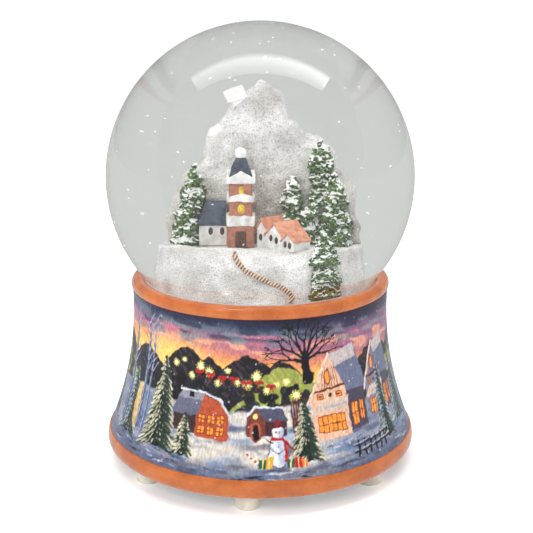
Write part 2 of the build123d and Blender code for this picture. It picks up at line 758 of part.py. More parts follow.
firs = {
    "fir_left_tall": (-15.9, 5.6, 18.0, 19.0, 3.5),
    "fir_left_low": (-18.2, 1.2, 18.0, 12.0, 3.3),
    "fir_behind_houses": (7.6, 3.0, 18.0, 17.0, 3.3),
    "fir_beside_houses": (12.4, 0.6, 18.0, 11.5, 3.1),
    "fir_right_high": (14.4, 7.2, 27.0, 15.6, 4.0),
    "fir_right_middle": (18.2, 0.6, 17.0, 19.0, 4.0),
    "fir_right_low": (16.6, -17.8, 3.6, 19.4, 5.6),
}
scene = {}
scene["church_tower"] = church_tower()
scene["tower_roof"] = tower_roof() - scene["church_tower"]
scene["tower_bands"] = tower_bands(scene["church_tower"], scene["tower_roof"])
nave_at = Pos(nave_x, nave_y, terrace_z) * Rot(0, 0, -90)
nave_size = (nave_w, nave_len, nave_eave, nave_ridge)
scene["church_nave"] = nave_at * gable_walls(*nave_size) - hip_cut(0.7)
scene["nave_roof"] = nave_at * hipped_roof(*nave_size, 0.5, 0.7) - hip_cut(0)
for name, (x, y, width, length, eave, ridge) in houses.items():
    scene["house_" + name] = house_place(x, y) * gable_walls(width, length, eave, ridge)
    scene["house_roof_" + name] = house_place(x, y) * gable_roof(width, length, eave, ridge, 0.35, 0.6)
for name, values in firs.items():
    scene[name] = fir(*values)

# what stands in front keeps its shape, what is behind or under it is cut to it
order = list(scene)
for i, name in enumerate(order):
    for other in order[:i]:
        if scene[name].bounding_box().overlaps(scene[other].bounding_box()):
            scene[name] = scene[name] - scene[other]
    scene[name] = scene[name] if name == "tower_bands" else max(scene[name].solids(), key=lambda s: s.volume)
mountain = mountain_blank()
hill = hill_blank(0, 0)
for name in order:
    mountain = mountain - scene[name]
    hill = hill - scene[name]
scene["mountain"] = max(mountain.solids(), key=lambda s: s.volume)
scene["snow_hill"] = max(hill.solids(), key=lambda s: s.volume)
scene["stair_path"] = stair_path(scene["snow_hill"])
for name, solid in scene.items():
    nodes[name] = solid
nodes["snow_flakes"] = snow_flakes()
nodes["water"] = water(list(scene.values()) + [nodes["snow_flakes"]])

os.makedirs("parts", exist_ok=True)
for name, solid in nodes.items():
    export_step(solid, "parts/" + name + ".step")
    print(name, round(solid.volume, 2))
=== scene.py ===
import bpy
import bmesh
import json
import math
import numpy as np
from mathutils import Matrix, Quaternion, Vector

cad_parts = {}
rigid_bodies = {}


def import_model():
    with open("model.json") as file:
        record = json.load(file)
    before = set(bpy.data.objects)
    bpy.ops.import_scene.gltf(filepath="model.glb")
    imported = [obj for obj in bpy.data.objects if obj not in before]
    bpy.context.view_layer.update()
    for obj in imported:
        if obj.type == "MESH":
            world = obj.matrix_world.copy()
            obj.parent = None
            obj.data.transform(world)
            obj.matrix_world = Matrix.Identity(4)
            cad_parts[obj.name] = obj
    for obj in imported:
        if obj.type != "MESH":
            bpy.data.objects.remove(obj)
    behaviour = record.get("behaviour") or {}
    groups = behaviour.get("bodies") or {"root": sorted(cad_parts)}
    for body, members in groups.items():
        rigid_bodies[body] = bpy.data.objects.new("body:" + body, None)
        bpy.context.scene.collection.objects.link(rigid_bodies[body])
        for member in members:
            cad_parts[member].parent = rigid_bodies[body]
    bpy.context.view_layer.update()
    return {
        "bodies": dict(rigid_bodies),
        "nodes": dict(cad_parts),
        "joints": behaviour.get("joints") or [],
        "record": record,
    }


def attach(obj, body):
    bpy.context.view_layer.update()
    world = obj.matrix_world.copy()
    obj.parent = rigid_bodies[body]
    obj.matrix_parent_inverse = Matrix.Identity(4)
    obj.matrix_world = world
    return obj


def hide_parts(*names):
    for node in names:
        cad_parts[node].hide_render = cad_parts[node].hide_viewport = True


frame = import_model()
nodes = frame["nodes"]
mm = 0.001

# ---------------------------------------------------------------------------
# GLAZED BASE
# A slip-cast flared shell, dipped in an orange-brown glaze that pools and
# darkens in the creases. Only its top bead and bottom band stay bare.

def deselect():
    if bpy.context.object and bpy.context.object.mode != "OBJECT":
        bpy.ops.object.mode_set(mode="OBJECT")
    bpy.ops.object.select_all(action="DESELECT")


def make_active(piece):
    deselect()
    piece.select_set(True)
    bpy.context.view_layer.objects.active = piece


def settle(piece, name):
    make_active(piece)
    bpy.ops.object.transform_apply(location=True, rotation=True, scale=True)
    piece.name = name
    piece.data.name = name
    return piece


def apply_all(piece):
    make_active(piece)
    for modifier in list(piece.modifiers):
        bpy.ops.object.modifier_apply(modifier=modifier.name)


def new_material(name, colour, roughness):
    material = bpy.data.materials.new(name)
    material.use_nodes = True
    tree = material.node_tree
    shader = tree.nodes["Principled BSDF"]
    shader.inputs["Base Color"].default_value = (*colour, 1.0)
    shader.inputs["Roughness"].default_value = roughness
    return material, tree, shader


def add(tree, kind, **values):
    # one shader node, with its named sockets set
    made = tree.nodes.new("ShaderNode" + kind)
    for label, value in values.items():
        made.inputs[label.replace("_", " ")].default_value = value
    return made


def add_maths(tree, operation, second=None):
    made = add(tree, "Math")
    made.operation = operation
    if second is not None:
        made.inputs[1].default_value = second
    return made


def add_ramp(tree, low, high, dark=(0, 0, 0), light=(1, 1, 1)):
    made = add(tree, "ValToRGB")
    for stop, place, colour in zip(made.color_ramp.elements, (low, high), (dark, light)):
        stop.position = place
        stop.color = (*colour, 1)
    return made


def add_mix(tree, blend="MIX", share=0.5, over=None):
    made = add(tree, "Mix")
    made.data_type = "RGBA"
    made.blend_type = blend
    made.inputs[0].default_value = share
    if over:
        made.inputs[7].default_value = (*over, 1)
    return made


def link(tree, *pairs):
    # each pair is node, output, node, input
    for source, output, target, entry in pairs:
        tree.links.new(source.outputs[output], target.inputs[entry])


def add_bump(tree, shader, pattern, output, strength, depth):
    lift = add(tree, "Bump", Strength=strength, Distance=depth)
    link(tree, (pattern, output, lift, "Height"), (lift, "Normal", shader, "Normal"))


def finish_with(piece, material):
    piece.data.materials.clear()
    piece.data.materials.append(material)


def turned_piece(name, outline, steps):
    # turns a closed outline of (radius, height) in millimetres about the axis
    deselect()
    bpy.ops.mesh.primitive_plane_add(size=0.001, location=(0, 0, 0))
    piece = bpy.context.object
    bpy.ops.object.mode_set(mode="EDIT")
    shape = bmesh.from_edit_mesh(piece.data)
    bmesh.ops.delete(shape, geom=list(shape.verts), context="VERTS")
    ring = [shape.verts.new((r * mm, 0, z * mm)) for r, z in outline]
    for a, b in zip(ring, ring[1:] + ring[:1]):
        shape.edges.new((a, b))
    for vertex in shape.verts:
        vertex.select = True
    for edge in shape.edges:
        edge.select = True
    bmesh.update_edit_mesh(piece.data)
    bpy.ops.mesh.spin(steps=steps, angle=2 * math.pi, center=(0, 0, 0), axis=(0, 0, 1))
    bpy.ops.mesh.select_all(action="SELECT")
    bpy.ops.mesh.remove_doubles(threshold=1e-6)
    bpy.ops.mesh.normals_make_consistent(inside=False)
    bpy.ops.object.mode_set(mode="OBJECT")
    piece = settle(piece, name)
    bpy.ops.object.shade_smooth_by_angle(angle=math.radians(40))
    return piece


def arc(cx, cz, radius, start, end, count):
    points = []
    for i in range(count):
        angle = math.radians(start + (end - start) * i / (count - 1))
        points.append((cx + radius * math.cos(angle), cz + radius * math.sin(angle)))
    return points


def speckle_group():
    # colour drift, fine specks and a height from noise, shared by every painted finish
    group = bpy.data.node_groups.new("hand_painted", "ShaderNodeTree")
    colour, number = "NodeSocketColor", "NodeSocketFloat"
    for label, kind in (("Dark", colour), ("Light", colour), ("Scale", number), ("Speck", number)):
        group.interface.new_socket(label, in_out="INPUT", socket_type=kind)
    for label, kind in (("Colour", colour), ("Height", number)):
        group.interface.new_socket(label, in_out="OUTPUT", socket_type=kind)
    asked = group.nodes.new("NodeGroupInput")
    given = group.nodes.new("NodeGroupOutput")
    place = add(group, "TexCoord")
    drift = add(group, "TexNoise", Detail=5.0)
    fine = add(group, "TexNoise", Detail=3.0)
    bigger = add_maths(group, "MULTIPLY", 5.0)
    tone = add_ramp(group, 0.36, 0.62)
    specks = add_ramp(group, 0.60, 0.68)
    blend = add_mix(group)
    darken = add_mix(group, "MULTIPLY", over=(0.55, 0.52, 0.5))
    amount = add_maths(group, "MULTIPLY")
    total = add_maths(group, "ADD")
    link(group, (place, "Object", drift, "Vector"), (place, "Object", fine, "Vector"),
         (asked, "Scale", drift, "Scale"), (asked, "Scale", bigger, 0), (bigger, 0, fine, "Scale"),
         (drift, "Fac", tone, "Fac"), (fine, "Fac", specks, "Fac"), (tone, "Color", blend, 0),
         (asked, "Dark", blend, 6), (asked, "Light", blend, 7), (specks, "Color", amount, 0),
         (asked, "Speck", amount, 1), (amount, 0, darken, 0), (blend, 2, darken, 6),
         (drift, "Fac", total, 0), (fine, "Fac", total, 1), (darken, 2, given, "Colour"),
         (total, 0, given, "Height"))
    return group


hand_painted = speckle_group()


def painted(name, dark, light, scale, speck, roughness, bump, coat=0.0):
    material, tree, shader = new_material(name, light, roughness)
    group = add(tree, "Group")
    group.node_tree = hand_painted
    for label, value in (("Dark", (*dark, 1)), ("Light", (*light, 1)), ("Scale", scale), ("Speck", speck)):
        group.inputs[label].default_value = value
    link(tree, (group, "Colour", shader, "Base Color"))
    add_bump(tree, shader, group, "Height", bump, 0.0003)
    shader.inputs["Coat Weight"].default_value = coat
    shader.inputs["Coat Roughness"].default_value = 0.06
    return material


bead_z, bead_ring, bead_r = 60.9, 40.4, 2.3
skin_low, skin_top = 11.62, 59.35
ball_z, ball_r = 94.99, 50.0
shell_outline = [(48.8, 8.2), (48.8, 5.6), (49.1, 5.22)]
shell_outline += [(49.7, 5.2), (50.7, 5.55), (51.45, 6.3), (51.85, 7.3), (51.95, 8.4), (51.85, 9.6),
                  (51.6, 10.7),
                  (51.3, 11.4), (50.8, 11.6), (50.4, 11.6)]
shell_outline += [(46.9, 19.0), (44.6, 27.0), (43.4, 35.1), (42.4, 45.0), (41.9, 54.0), (41.8, 59.2)]
shell_outline += arc(bead_ring, bead_z, bead_r, -48, 190, 22)
shell_outline += [(36.4, 59.6), (36.4, 52.3), (37.6, 52.3), (38.2, 44), (39.2, 35.1), (40.6, 27.0),
                  (43.0, 19.0),
                  (46.4, 11.6), (46.4, 8.2)]
glaze = painted("orange_glaze", (0.42, 0.098, 0.018), (0.54, 0.145, 0.03), 140.0, 0.35, 0.24, 0.12, 0.6)
base = turned_piece("glazed_base", shell_outline, 192)
finish_with(base, glaze)
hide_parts("base_shell")
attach(base, "globe")

# ---------------------------------------------------------------------------
# PICTURE ROUND THE BASE
# A printed winter village under clear lacquer, wrapped right round the flare:
# evening sky over dark hills, a barn, a cottage, firs, a bare tree and snow.

def flare_radius(z):
    # the lacquered skin: widest at the band, waisted under the bead
    low, mid, top = (50.9, 11.6), (43.94, 35.1), (42.2, 58.6)
    a = (mid[0] - low[0]) / (mid[1] - low[1])
    b = (top[0] - mid[0]) / (top[1] - mid[1])
    return low[0] + a * (z - low[1]) + (b - a) / (top[1] - low[1]) * (z - low[1]) * (z - mid[1])


def picture_half(name, start, end, columns, rows):
    deselect()
    bpy.ops.mesh.primitive_grid_add(x_subdivisions=columns, y_subdivisions=rows, size=1.0,
                                    location=(0, 0, 0))
    piece = bpy.context.object
    count = len(piece.data.vertices)
    flat = np.zeros(count * 3)
    piece.data.vertices.foreach_get("co", flat)
    flat = flat.reshape(-1, 3)
    turn = np.radians(start + (flat[:, 0] + 0.5) * (end - start))
    z = skin_low + (flat[:, 1] + 0.5) * (skin_top - skin_low)
    radius = flare_radius(z)
    spot = np.stack([radius * np.sin(turn), -radius * np.cos(turn), z], 1) * mm
    piece.data.vertices.foreach_set("co", spot.ravel())
    piece.data.update()
    settle(piece, name)
    return piece, turn, z


def noise(x, y, scale, seed):
    # soft value noise from a seeded grid, smooth between its points
    table = np.random.default_rng(seed).random((64, 64))
    u, v = x / scale + 1000.0, y / scale + 1000.0
    i, j = np.floor(u).astype(int), np.floor(v).astype(int)
    f, g = u - i, v - j
    f, g = f * f * (3 - 2 * f), g * g * (3 - 2 * g)
    a, b = table[i % 64, j % 64], table[(i + 1) % 64, j % 64]
    c, d = table[i % 64, (j + 1) % 64], table[(i + 1) % 64, (j + 1) % 64]
    return (a * (1 - f) + b * f) * (1 - g) + (c * (1 - f) + d * f) * g


def rgb(r, g, b):
    return np.array([r, g, b]) / 255.0


class Canvas:
    # x is millimetres round the base from the front, y is millimetres above the table
    def __init__(self, x, y):
        self.x = x + 0.5 * (noise(x, y, 1.3, 11) - 0.5)
        self.y = y + 0.5 * (noise(x, y, 1.3, 12) - 0.5)
        self.paint = np.zeros((len(x), 3))
        self.wobble = noise(x, y, 0.7, 1) - 0.5

    def lay(self, mask, colour, where=slice(None)):
        mask = np.clip(mask, 0, 1)[:, None]
        self.paint[where] = self.paint[where] * (1 - mask) + colour * mask

    def edge(self, distance, soft=0.22, where=slice(None)):
        return np.clip(0.5 - (distance + 0.2 * self.wobble[where]) / soft, 0, 1)

    def close_to(self, xs, ys, reach):
        inside = (self.x > min(xs) - reach) & (self.x < max(xs) + reach)
        return np.nonzero(inside & (self.y > min(ys) - reach) & (self.y < max(ys) + reach))[0]

    def oval(self, cx, cy, rx, ry, colour, part=1.0):
        where = self.close_to((cx - rx, cx + rx), (cy - ry, cy + ry), 0.5)
        d = np.sqrt(((self.x[where] - cx) / rx) ** 2 + ((self.y[where] - cy) / ry) ** 2) - 1
        self.lay(part * self.edge(d * min(rx, ry), 0.22, where), colour, where)

    def shape(self, corners, colour, part=1.0):
        # any polygon: signed distance to its outline
        where = self.close_to([q[0] for q in corners], [q[1] for q in corners], 0.6)
        x, y = self.x[where], self.y[where]
        inside = np.zeros(len(x), bool)
        nearest = np.full(len(x), 1e9)
        for (ax, ay), (bx, by) in zip(corners, corners[1:] + corners[:1]):
            ex, ey = bx - ax, by - ay
            t = np.clip(((x - ax) * ex + (y - ay) * ey) / (ex * ex + ey * ey + 1e-9), 0, 1)
            nearest = np.minimum(nearest, np.hypot(x - ax - t * ex, y - ay - t * ey))
            crosses = (ay > y) != (by > y)
            cut = ax + (y - ay) * ex / (ey if abs(ey) > 1e-9 else 1e-9)
            inside ^= crosses & (x < cut)
        self.lay(part * self.edge(np.where(inside, -nearest, nearest), 0.22, where), colour, where)

    def stroke(self, points, colour, part=1.0):
        # a brush stroke through points of (x, y, width)
        for (ax, ay, aw), (bx, by, bw) in zip(points, points[1:]):
            where = self.close_to((ax, bx), (ay, by), max(aw, bw) / 2 + 0.4)
            x, y = self.x[where], self.y[where]
            ex, ey = bx - ax, by - ay
            t = np.clip(((x - ax) * ex + (y - ay) * ey) / (ex * ex + ey * ey + 1e-9), 0, 1)
            gap = np.hypot(x - ax - t * ex, y - ay - t * ey) - (aw + (bw - aw) * t) / 2
            self.lay(part * self.edge(gap, 0.22, where), colour, where)

    def box(self, x, y, wide, tall, colour):
        self.shape([(x, y), (x + wide, y), (x + wide, y + tall), (x, y + tall)], colour)


INK, SNOW, COLD = rgb(24, 22, 30), rgb(206, 210, 216), rgb(122, 146, 182)
LAMP, EMBER, RED = rgb(255, 226, 132), rgb(240, 148, 58), rgb(176, 34, 34)


def sky(c):
    height = c.y + 3.0 * (noise(c.x, c.y * 2.0, 12, 2) - 0.5) + 2.9 * np.sin(c.x / 45.0)
    stops = ((38, rgb(250, 214, 118)), (44, rgb(246, 184, 84)), (47.5, rgb(222, 136, 92)),
             (50.5, rgb(170, 104, 124)),
             (53, rgb(118, 98, 126)), (55, rgb(84, 98, 116)), (57, rgb(44, 50, 78)), (60, rgb(30, 28, 50)))
    levels = [level for level, colour in stops]
    for k in range(3):
        c.paint[:, k] = np.interp(height, levels, [colour[k] for level, colour in stops])
    sunset = np.exp(-((c.x + 31) / 13) ** 2) * np.exp(-((c.y - 47) / 6) ** 2)
    c.lay(0.75 * sunset, rgb(250, 204, 112))
    violet = np.clip((c.x - 8) / 24, 0, 1) * np.clip((138 - c.x) / 30, 0,
                                                     1) * np.exp(-((c.y - 50) / 6) ** 2)
    c.lay(0.8 * violet, rgb(150, 92, 130))
    for seed, low, high, colour in ((3, 49, 56, rgb(206, 110, 132)), (4, 46, 53, rgb(250, 186, 128)),
                                    (13, 52, 60, rgb(36, 40, 66)), (14, 50, 57, rgb(110, 132, 140))):
        streak = noise(c.x + 0.6 * c.y, c.y * 5 + 0.25 * c.x, 6, seed)
        band = np.clip((c.y - low) / 1.5, 0, 1) * np.clip((high - c.y) / 1.5, 0, 1)
        c.lay(0.6 * band * np.clip((streak - 0.52) * 6, 0, 1), colour)


def ridge(c, humps, colour, light):
    # rounded hills: each hump is (x, height, half width)
    top = np.full(len(c.x), -99.0)
    for px, py, wide in humps:
        top = np.maximum(top, py - 9.0 * (np.abs(c.x - px) / wide) ** 1.6)
    top = top + 0.7 * (noise(c.x, c.x * 0, 1.4, 5) - 0.5)
    c.lay(c.edge(c.y - top, 0.4), colour)
    dabs = np.clip((noise(c.x * 1.3 + c.y, c.y, 1.2, 6) - 0.55) * 5, 0, 1)
    c.lay(0.45 * dabs * c.edge(c.y - top, 0.4), light)


def fir_tree(c, x, low, high, reach, snow):
    # a dark body, then drooping boughs from the foot up, each with its load of snow
    body = rgb(22, 28, 30)
    shoulder = low + 0.45 * (high - low)
    c.shape([(x - reach * 0.8, low), (x - reach * 0.5, shoulder), (x, high), (x + reach * 0.5, shoulder),
             (x + reach * 0.8, low), (x, low - 1)], body)
    tiers = int(6 + (high - low) / 2.2)
    for i in range(tiers):
        share = i / tiers
        y = low + (high - low) * share
        half = reach * (1 - share) ** 0.85 + 0.35
        for k in range(9):
            side = -1 + 0.25 * k + 0.1 * luck.uniform(-1, 1)
            droop = 0.9 + 0.30 * half * abs(side)
            tip = (x + side * half, y - droop + 0.9)
            root = (x + side * half * 0.25, y + 0.9)
            c.stroke([(*root, 1.0), (*tip, 0.35)], body if k % 2 else rgb(40, 58, 48))
            if luck.random() < 0.8:
                load = snow * luck.uniform(0.72, 1.0)
                inner_end = (root[0] + side * half * 0.3, root[1] - 0.05, 0.34)
                c.stroke([inner_end, (tip[0], tip[1] + 0.3, 0.62)], load, 0.92)


def lit_window(c, x, y, wide, tall, colour, bars=2):
    frame = rgb(112, 38, 26)
    c.box(x - wide, y - tall, 2 * wide, 2 * tall, frame)
    c.box(x - wide + 0.22, y - tall + 0.22, 2 * wide - 0.44, 2 * tall - 0.44, colour)
    for i in range(1, bars):
        across = x - wide + 2 * wide * i / bars
        c.stroke([(across, y - tall, 0.24), (across, y + tall, 0.24)], frame)
    c.stroke([(x - wide, y, 0.24), (x + wide, y, 0.24)], frame)


def star_lamp(c, x, y, size):
    c.oval(x, y, size * 1.5, size * 1.5, rgb(206, 190, 96), 0.35)
    for k in range(5):
        turn = 0.4 + math.pi * k / 5
        dx, dy = 1.5 * size * math.cos(turn), 1.5 * size * math.sin(turn)
        c.stroke([(x - dx, y - dy, 0.1), (x, y, size * 0.9), (x + dx, y + dy, 0.1)], rgb(240, 232, 130),
                 0.9)
    c.oval(x, y, size * 0.55, size * 0.55, rgb(255, 253, 206))


def bare_branch(c, x, y, turn, length, width, depth, colour):
    tip_x, tip_y = x + length * math.cos(turn), min(y + length * math.sin(turn), 59.0)
    c.stroke([(x, y, width), (tip_x, tip_y, width * 0.62)], colour)
    if depth:
        for side in (-1, 1):
            bend = side * luck.uniform(0.18, 0.62)
            grown = length * luck.uniform(0.62, 0.86)
            bare_branch(c, tip_x, tip_y, turn + bend, grown, width * 0.62, depth - 1, colour)


def bare_tree(c, x, low, fork, girth, colour):
    c.stroke([(x + 0.8, low, girth * 1.5), (x + 0.2, fork - 3, girth), (x, fork, girth * 0.9)], colour)
    for turn in (2.95, 2.55, 2.1, 1.65, 1.2, 0.8, 0.42):
        bare_branch(c, x, fork - 1.0 + 1.4 * math.sin(turn), turn, 4.6, girth * 0.42, 4, colour)


def placer(x, low, wide, tall):
    # turns shares of a building's width and height into a place in the picture
    return lambda share, level: (x + share * wide, low + level * tall)


def barn(c, x, low, wide, tall, wall):
    # a long slate-grey roof falling to the left, a round-topped warm gable on the right
    at = placer(x, low, wide, tall)
    c.box(x + 0.04 * wide, low + 0.6, 0.45 * wide, 0.48 * tall, rgb(58, 44, 48))
    c.shape([at(0.46, 0), (x + wide, low - 0.6), at(1, 0.55), at(0.82, 0.86),
             at(0.56, 0.97), at(0.46, 0.6)], wall)
    c.shape([(x - 0.6, low + 0.42 * tall), at(0.16, 1), at(0.58, 1), at(0.48, 0.46)], rgb(96, 98, 118))
    c.shape([at(0.1, 0.82), at(0.16, 1), at(0.58, 1), at(0.56, 0.82)], rgb(150, 150, 162), 0.8)
    c.box(*at(0.3, 0.86), 0.09 * wide, 0.2 * tall, INK)
    c.stroke([(x + 0.14 * wide, low + tall + 0.1, 0.5), (x + 0.58 * wide, low + tall + 0.2, 0.7),
              (*at(0.84, 0.88), 0.8), (x + wide + 0.5, low + 0.5 * tall, 0.6)], SNOW)
    for row in range(2):
        for k in range(3):
            lit_window(c, x + (0.56 + 0.15 * k) * wide, low + (0.16 + 0.26 * row) * tall, 0.062 * wide,
                       0.1 * tall, EMBER)


def cottage(c, x, low, wide, tall, wall):
    # a steep timbered gable over a porch roof and a long row of lit panes
    timber = rgb(92, 38, 34)
    at = placer(x, low, wide, tall)
    c.shape([at(0, 0), at(0.62, 0), at(0.62, 0.62), at(0.3, 1), at(-0.04, 0.5)], wall)
    c.shape([at(0.3, 1), at(0.8, 1.08), at(1.1, 0.5), at(0.64, 0.5)], rgb(104, 110, 136))
    c.shape([at(0.3, 1), at(0.8, 1.08), at(0.86, 0.9), at(0.4, 0.84)], rgb(196, 182, 178), 0.9)
    c.box(*at(0.62, 0.04), 0.36 * wide, 0.47 * tall, rgb(74, 66, 84))
    for k in range(7):
        c.stroke([(*at(0.16 + 0.05 * k, 0.58), 0.22), (*at(0.2 + 0.033 * k, 0.84), 0.16)], timber, 0.8)
    c.stroke([(*at(0.0, 0.56), 0.7), (*at(0.58, 0.6), 0.7)], timber)
    c.stroke([(*at(-0.08, 0.44), 0.8), (*at(0.3, 1.01), 0.8)], rgb(226, 196, 174))
    c.oval(*at(0.27, 0.72), 0.055 * wide, 0.1 * tall, timber)
    c.oval(*at(0.27, 0.72), 0.04 * wide, 0.08 * tall, EMBER)
    for share in (0.14, 0.46):
        lit_window(c, *at(share, 0.5), 0.055 * wide, 0.03 * tall, EMBER, 1)
    c.oval(*at(0.3, 0.5), 0.03 * wide, 0.03 * wide, rgb(40, 52, 40))
    c.shape([at(-0.08, 0.3), at(0.12, 0.44), at(0.66, 0.46), at(0.6, 0.32)], rgb(206, 182, 166))
    c.stroke([(*at(0.2, 0.36), 0.9), (*at(0.6, 0.38), 0.5)], rgb(150, 156, 172), 0.7)
    lit_window(c, *at(0.3, 0.17), 0.24 * wide, 0.1 * tall, EMBER, 6)
    lit_window(c, *at(0.74, 0.22), 0.07 * wide, 0.14 * tall, EMBER)
    lit_window(c, *at(0.89, 0.24), 0.05 * wide, 0.12 * tall, EMBER)


def shed(c, x, low, wide, tall):
    at = placer(x, low, wide, tall)
    c.box(x + 0.06 * wide, low, 0.9 * wide, 0.6 * tall, rgb(66, 40, 44))
    c.shape([at(0.06, 0), at(0.48, 0), at(0.48, 0.6), at(0.25, 0.96), at(0.06, 0.6)], rgb(112, 58, 50))
    c.shape([at(0.25, 1), at(0.86, 0.96), at(1, 0.5), at(0.5, 0.5)], rgb(78, 80, 102))
    c.stroke([(x - 0.3, low + 0.5 * tall, 0.6), (*at(0.25, 1), 0.8), (*at(0.86, 0.98), 0.5)], SNOW)
    c.oval(*at(0.27, 0.16), 0.13 * wide, 0.34 * tall, rgb(170, 84, 58))
    c.oval(*at(0.27, 0.12), 0.08 * wide, 0.28 * tall, INK)
    c.oval(*at(0.27, 0.68), 0.06 * wide, 0.08 * tall, LAMP)


def snowman(c, x, low):
    for y, wide, tall in ((3.0, 2.7, 3.1), (6.4, 2.1, 2.4), (9.6, 1.8, 1.75)):
        c.oval(x, low + y, wide + 0.25, tall + 0.25, rgb(70, 78, 104))
        c.oval(x, low + y, wide, tall, rgb(222, 222, 226))
        c.oval(x + 0.5 * wide, low + y - 0.3, 0.5 * wide, 0.8 * tall, COLD, 0.45)
    c.box(x - 1.1, low + 11.2, 2.3, 2.1, rgb(128, 40, 52))
    c.stroke([(x - 1.9, low + 11.2, 0.6), (x + 1.9, low + 11.3, 0.6)], rgb(96, 26, 38))
    c.stroke([(x - 1.7, low + 7.8, 0.9), (x + 1.6, low + 7.7, 0.9), (x + 2.4, low + 4.2, 0.9),
              (x + 2.0, low + 1.4, 0.8)], RED)
    c.stroke([(x + 1.6, low + 7.4, 0.8), (x + 4.4, low + 4.6, 0.7)], rgb(140, 28, 34))
    c.stroke([(x, low + 9.2, 0.36), (x + 0.8, low + 8.9, 0.16)], EMBER)
    for dx, dy in ((-0.6, 9.7), (0.5, 9.7), (0, 6.9), (0.1, 5.6), (0.1, 3.6)):
        c.oval(x + dx, low + dy, 0.22, 0.22, INK)
    c.stroke([(x - 1.7, low + 6.6, 0.26), (x - 4.2, low + 8.2, 0.16)], INK)
    for dx, wide, tall, colour in ((-4.6, 1.3, 1.2, rgb(34, 84, 62)), (-2.6, 1.0, 1.7, rgb(216, 160, 52)),
                                   (3.4, 1.0, 1.2, rgb(46, 84, 66)), (5.6, 1.1, 1.5, RED),
                                   (7.4, 0.8, 1.1, rgb(214, 120, 52))):
        c.box(x + dx - wide, low - 0.6, 2 * wide, 2 * tall, colour)
        c.stroke([(x + dx, low - 0.6, 0.34), (x + dx, low - 0.6 + 2 * tall, 0.34)], rgb(240, 216, 140))
    for k in range(6):
        c.oval(x - 6.2 - 0.55 * k, low + 1.2 + 0.42 * k, 0.34, 0.34, RED if k % 2 else rgb(240, 226, 200))


def snow_field(c):
    drift = 31.5 + 1.4 * np.sin(c.x / 9.0) + 1.2 * (noise(c.x, c.x * 0, 5, 8) - 0.5)
    ground = c.edge(c.y - drift, 0.8)
    c.lay(ground, rgb(200, 193, 186))
    for seed, level, colour, part in ((9, 0.46, COLD, 0.85), (10, 0.56, rgb(96, 110, 142), 0.7),
                                      (15, 0.6, rgb(232, 222, 204), 0.7), (16, 0.66, rgb(60, 62, 84), 0.7)):
        wash = noise(c.x + 0.8 * c.y, c.y * 3.4 - 0.3 * c.x, 6.0, seed)
        c.lay(part * np.clip((wash - level) * 5, 0, 1) * ground, colour)
    side = np.clip((np.abs(c.x + 4) - 18) / 18, 0, 1)
    c.lay(0.6 * side * ground, rgb(92, 104, 136))
    low = np.clip((16.5 + 2.0 * (noise(c.x, c.x * 0, 7, 17) - 0.5) - c.y) / 2.5, 0, 1)
    c.lay(0.6 * low, rgb(74, 80, 104))
    glow = np.exp(-((c.x + 10) / 11) ** 2) * np.exp(-((c.y - 20) / 3.6) ** 2)
    c.lay(0.7 * glow, rgb(206, 197, 184))
    for i in range(190):
        x, y = luck.uniform(-140, 140), luck.uniform(11.6, 21)
        if -22 < x < 2 and y > 15:
            continue
        length, tilt = luck.uniform(2, 8), luck.uniform(-0.16, 0.16)
        colour = (INK, COLD, rgb(60, 64, 88), SNOW)[i % 4]
        middle = (x + length / 2, y + tilt * length / 2, luck.uniform(0.2, 0.7))
        c.stroke([(x, y, 0.1), middle, (x + length, y + tilt * length, 0.1)], colour, 0.75)


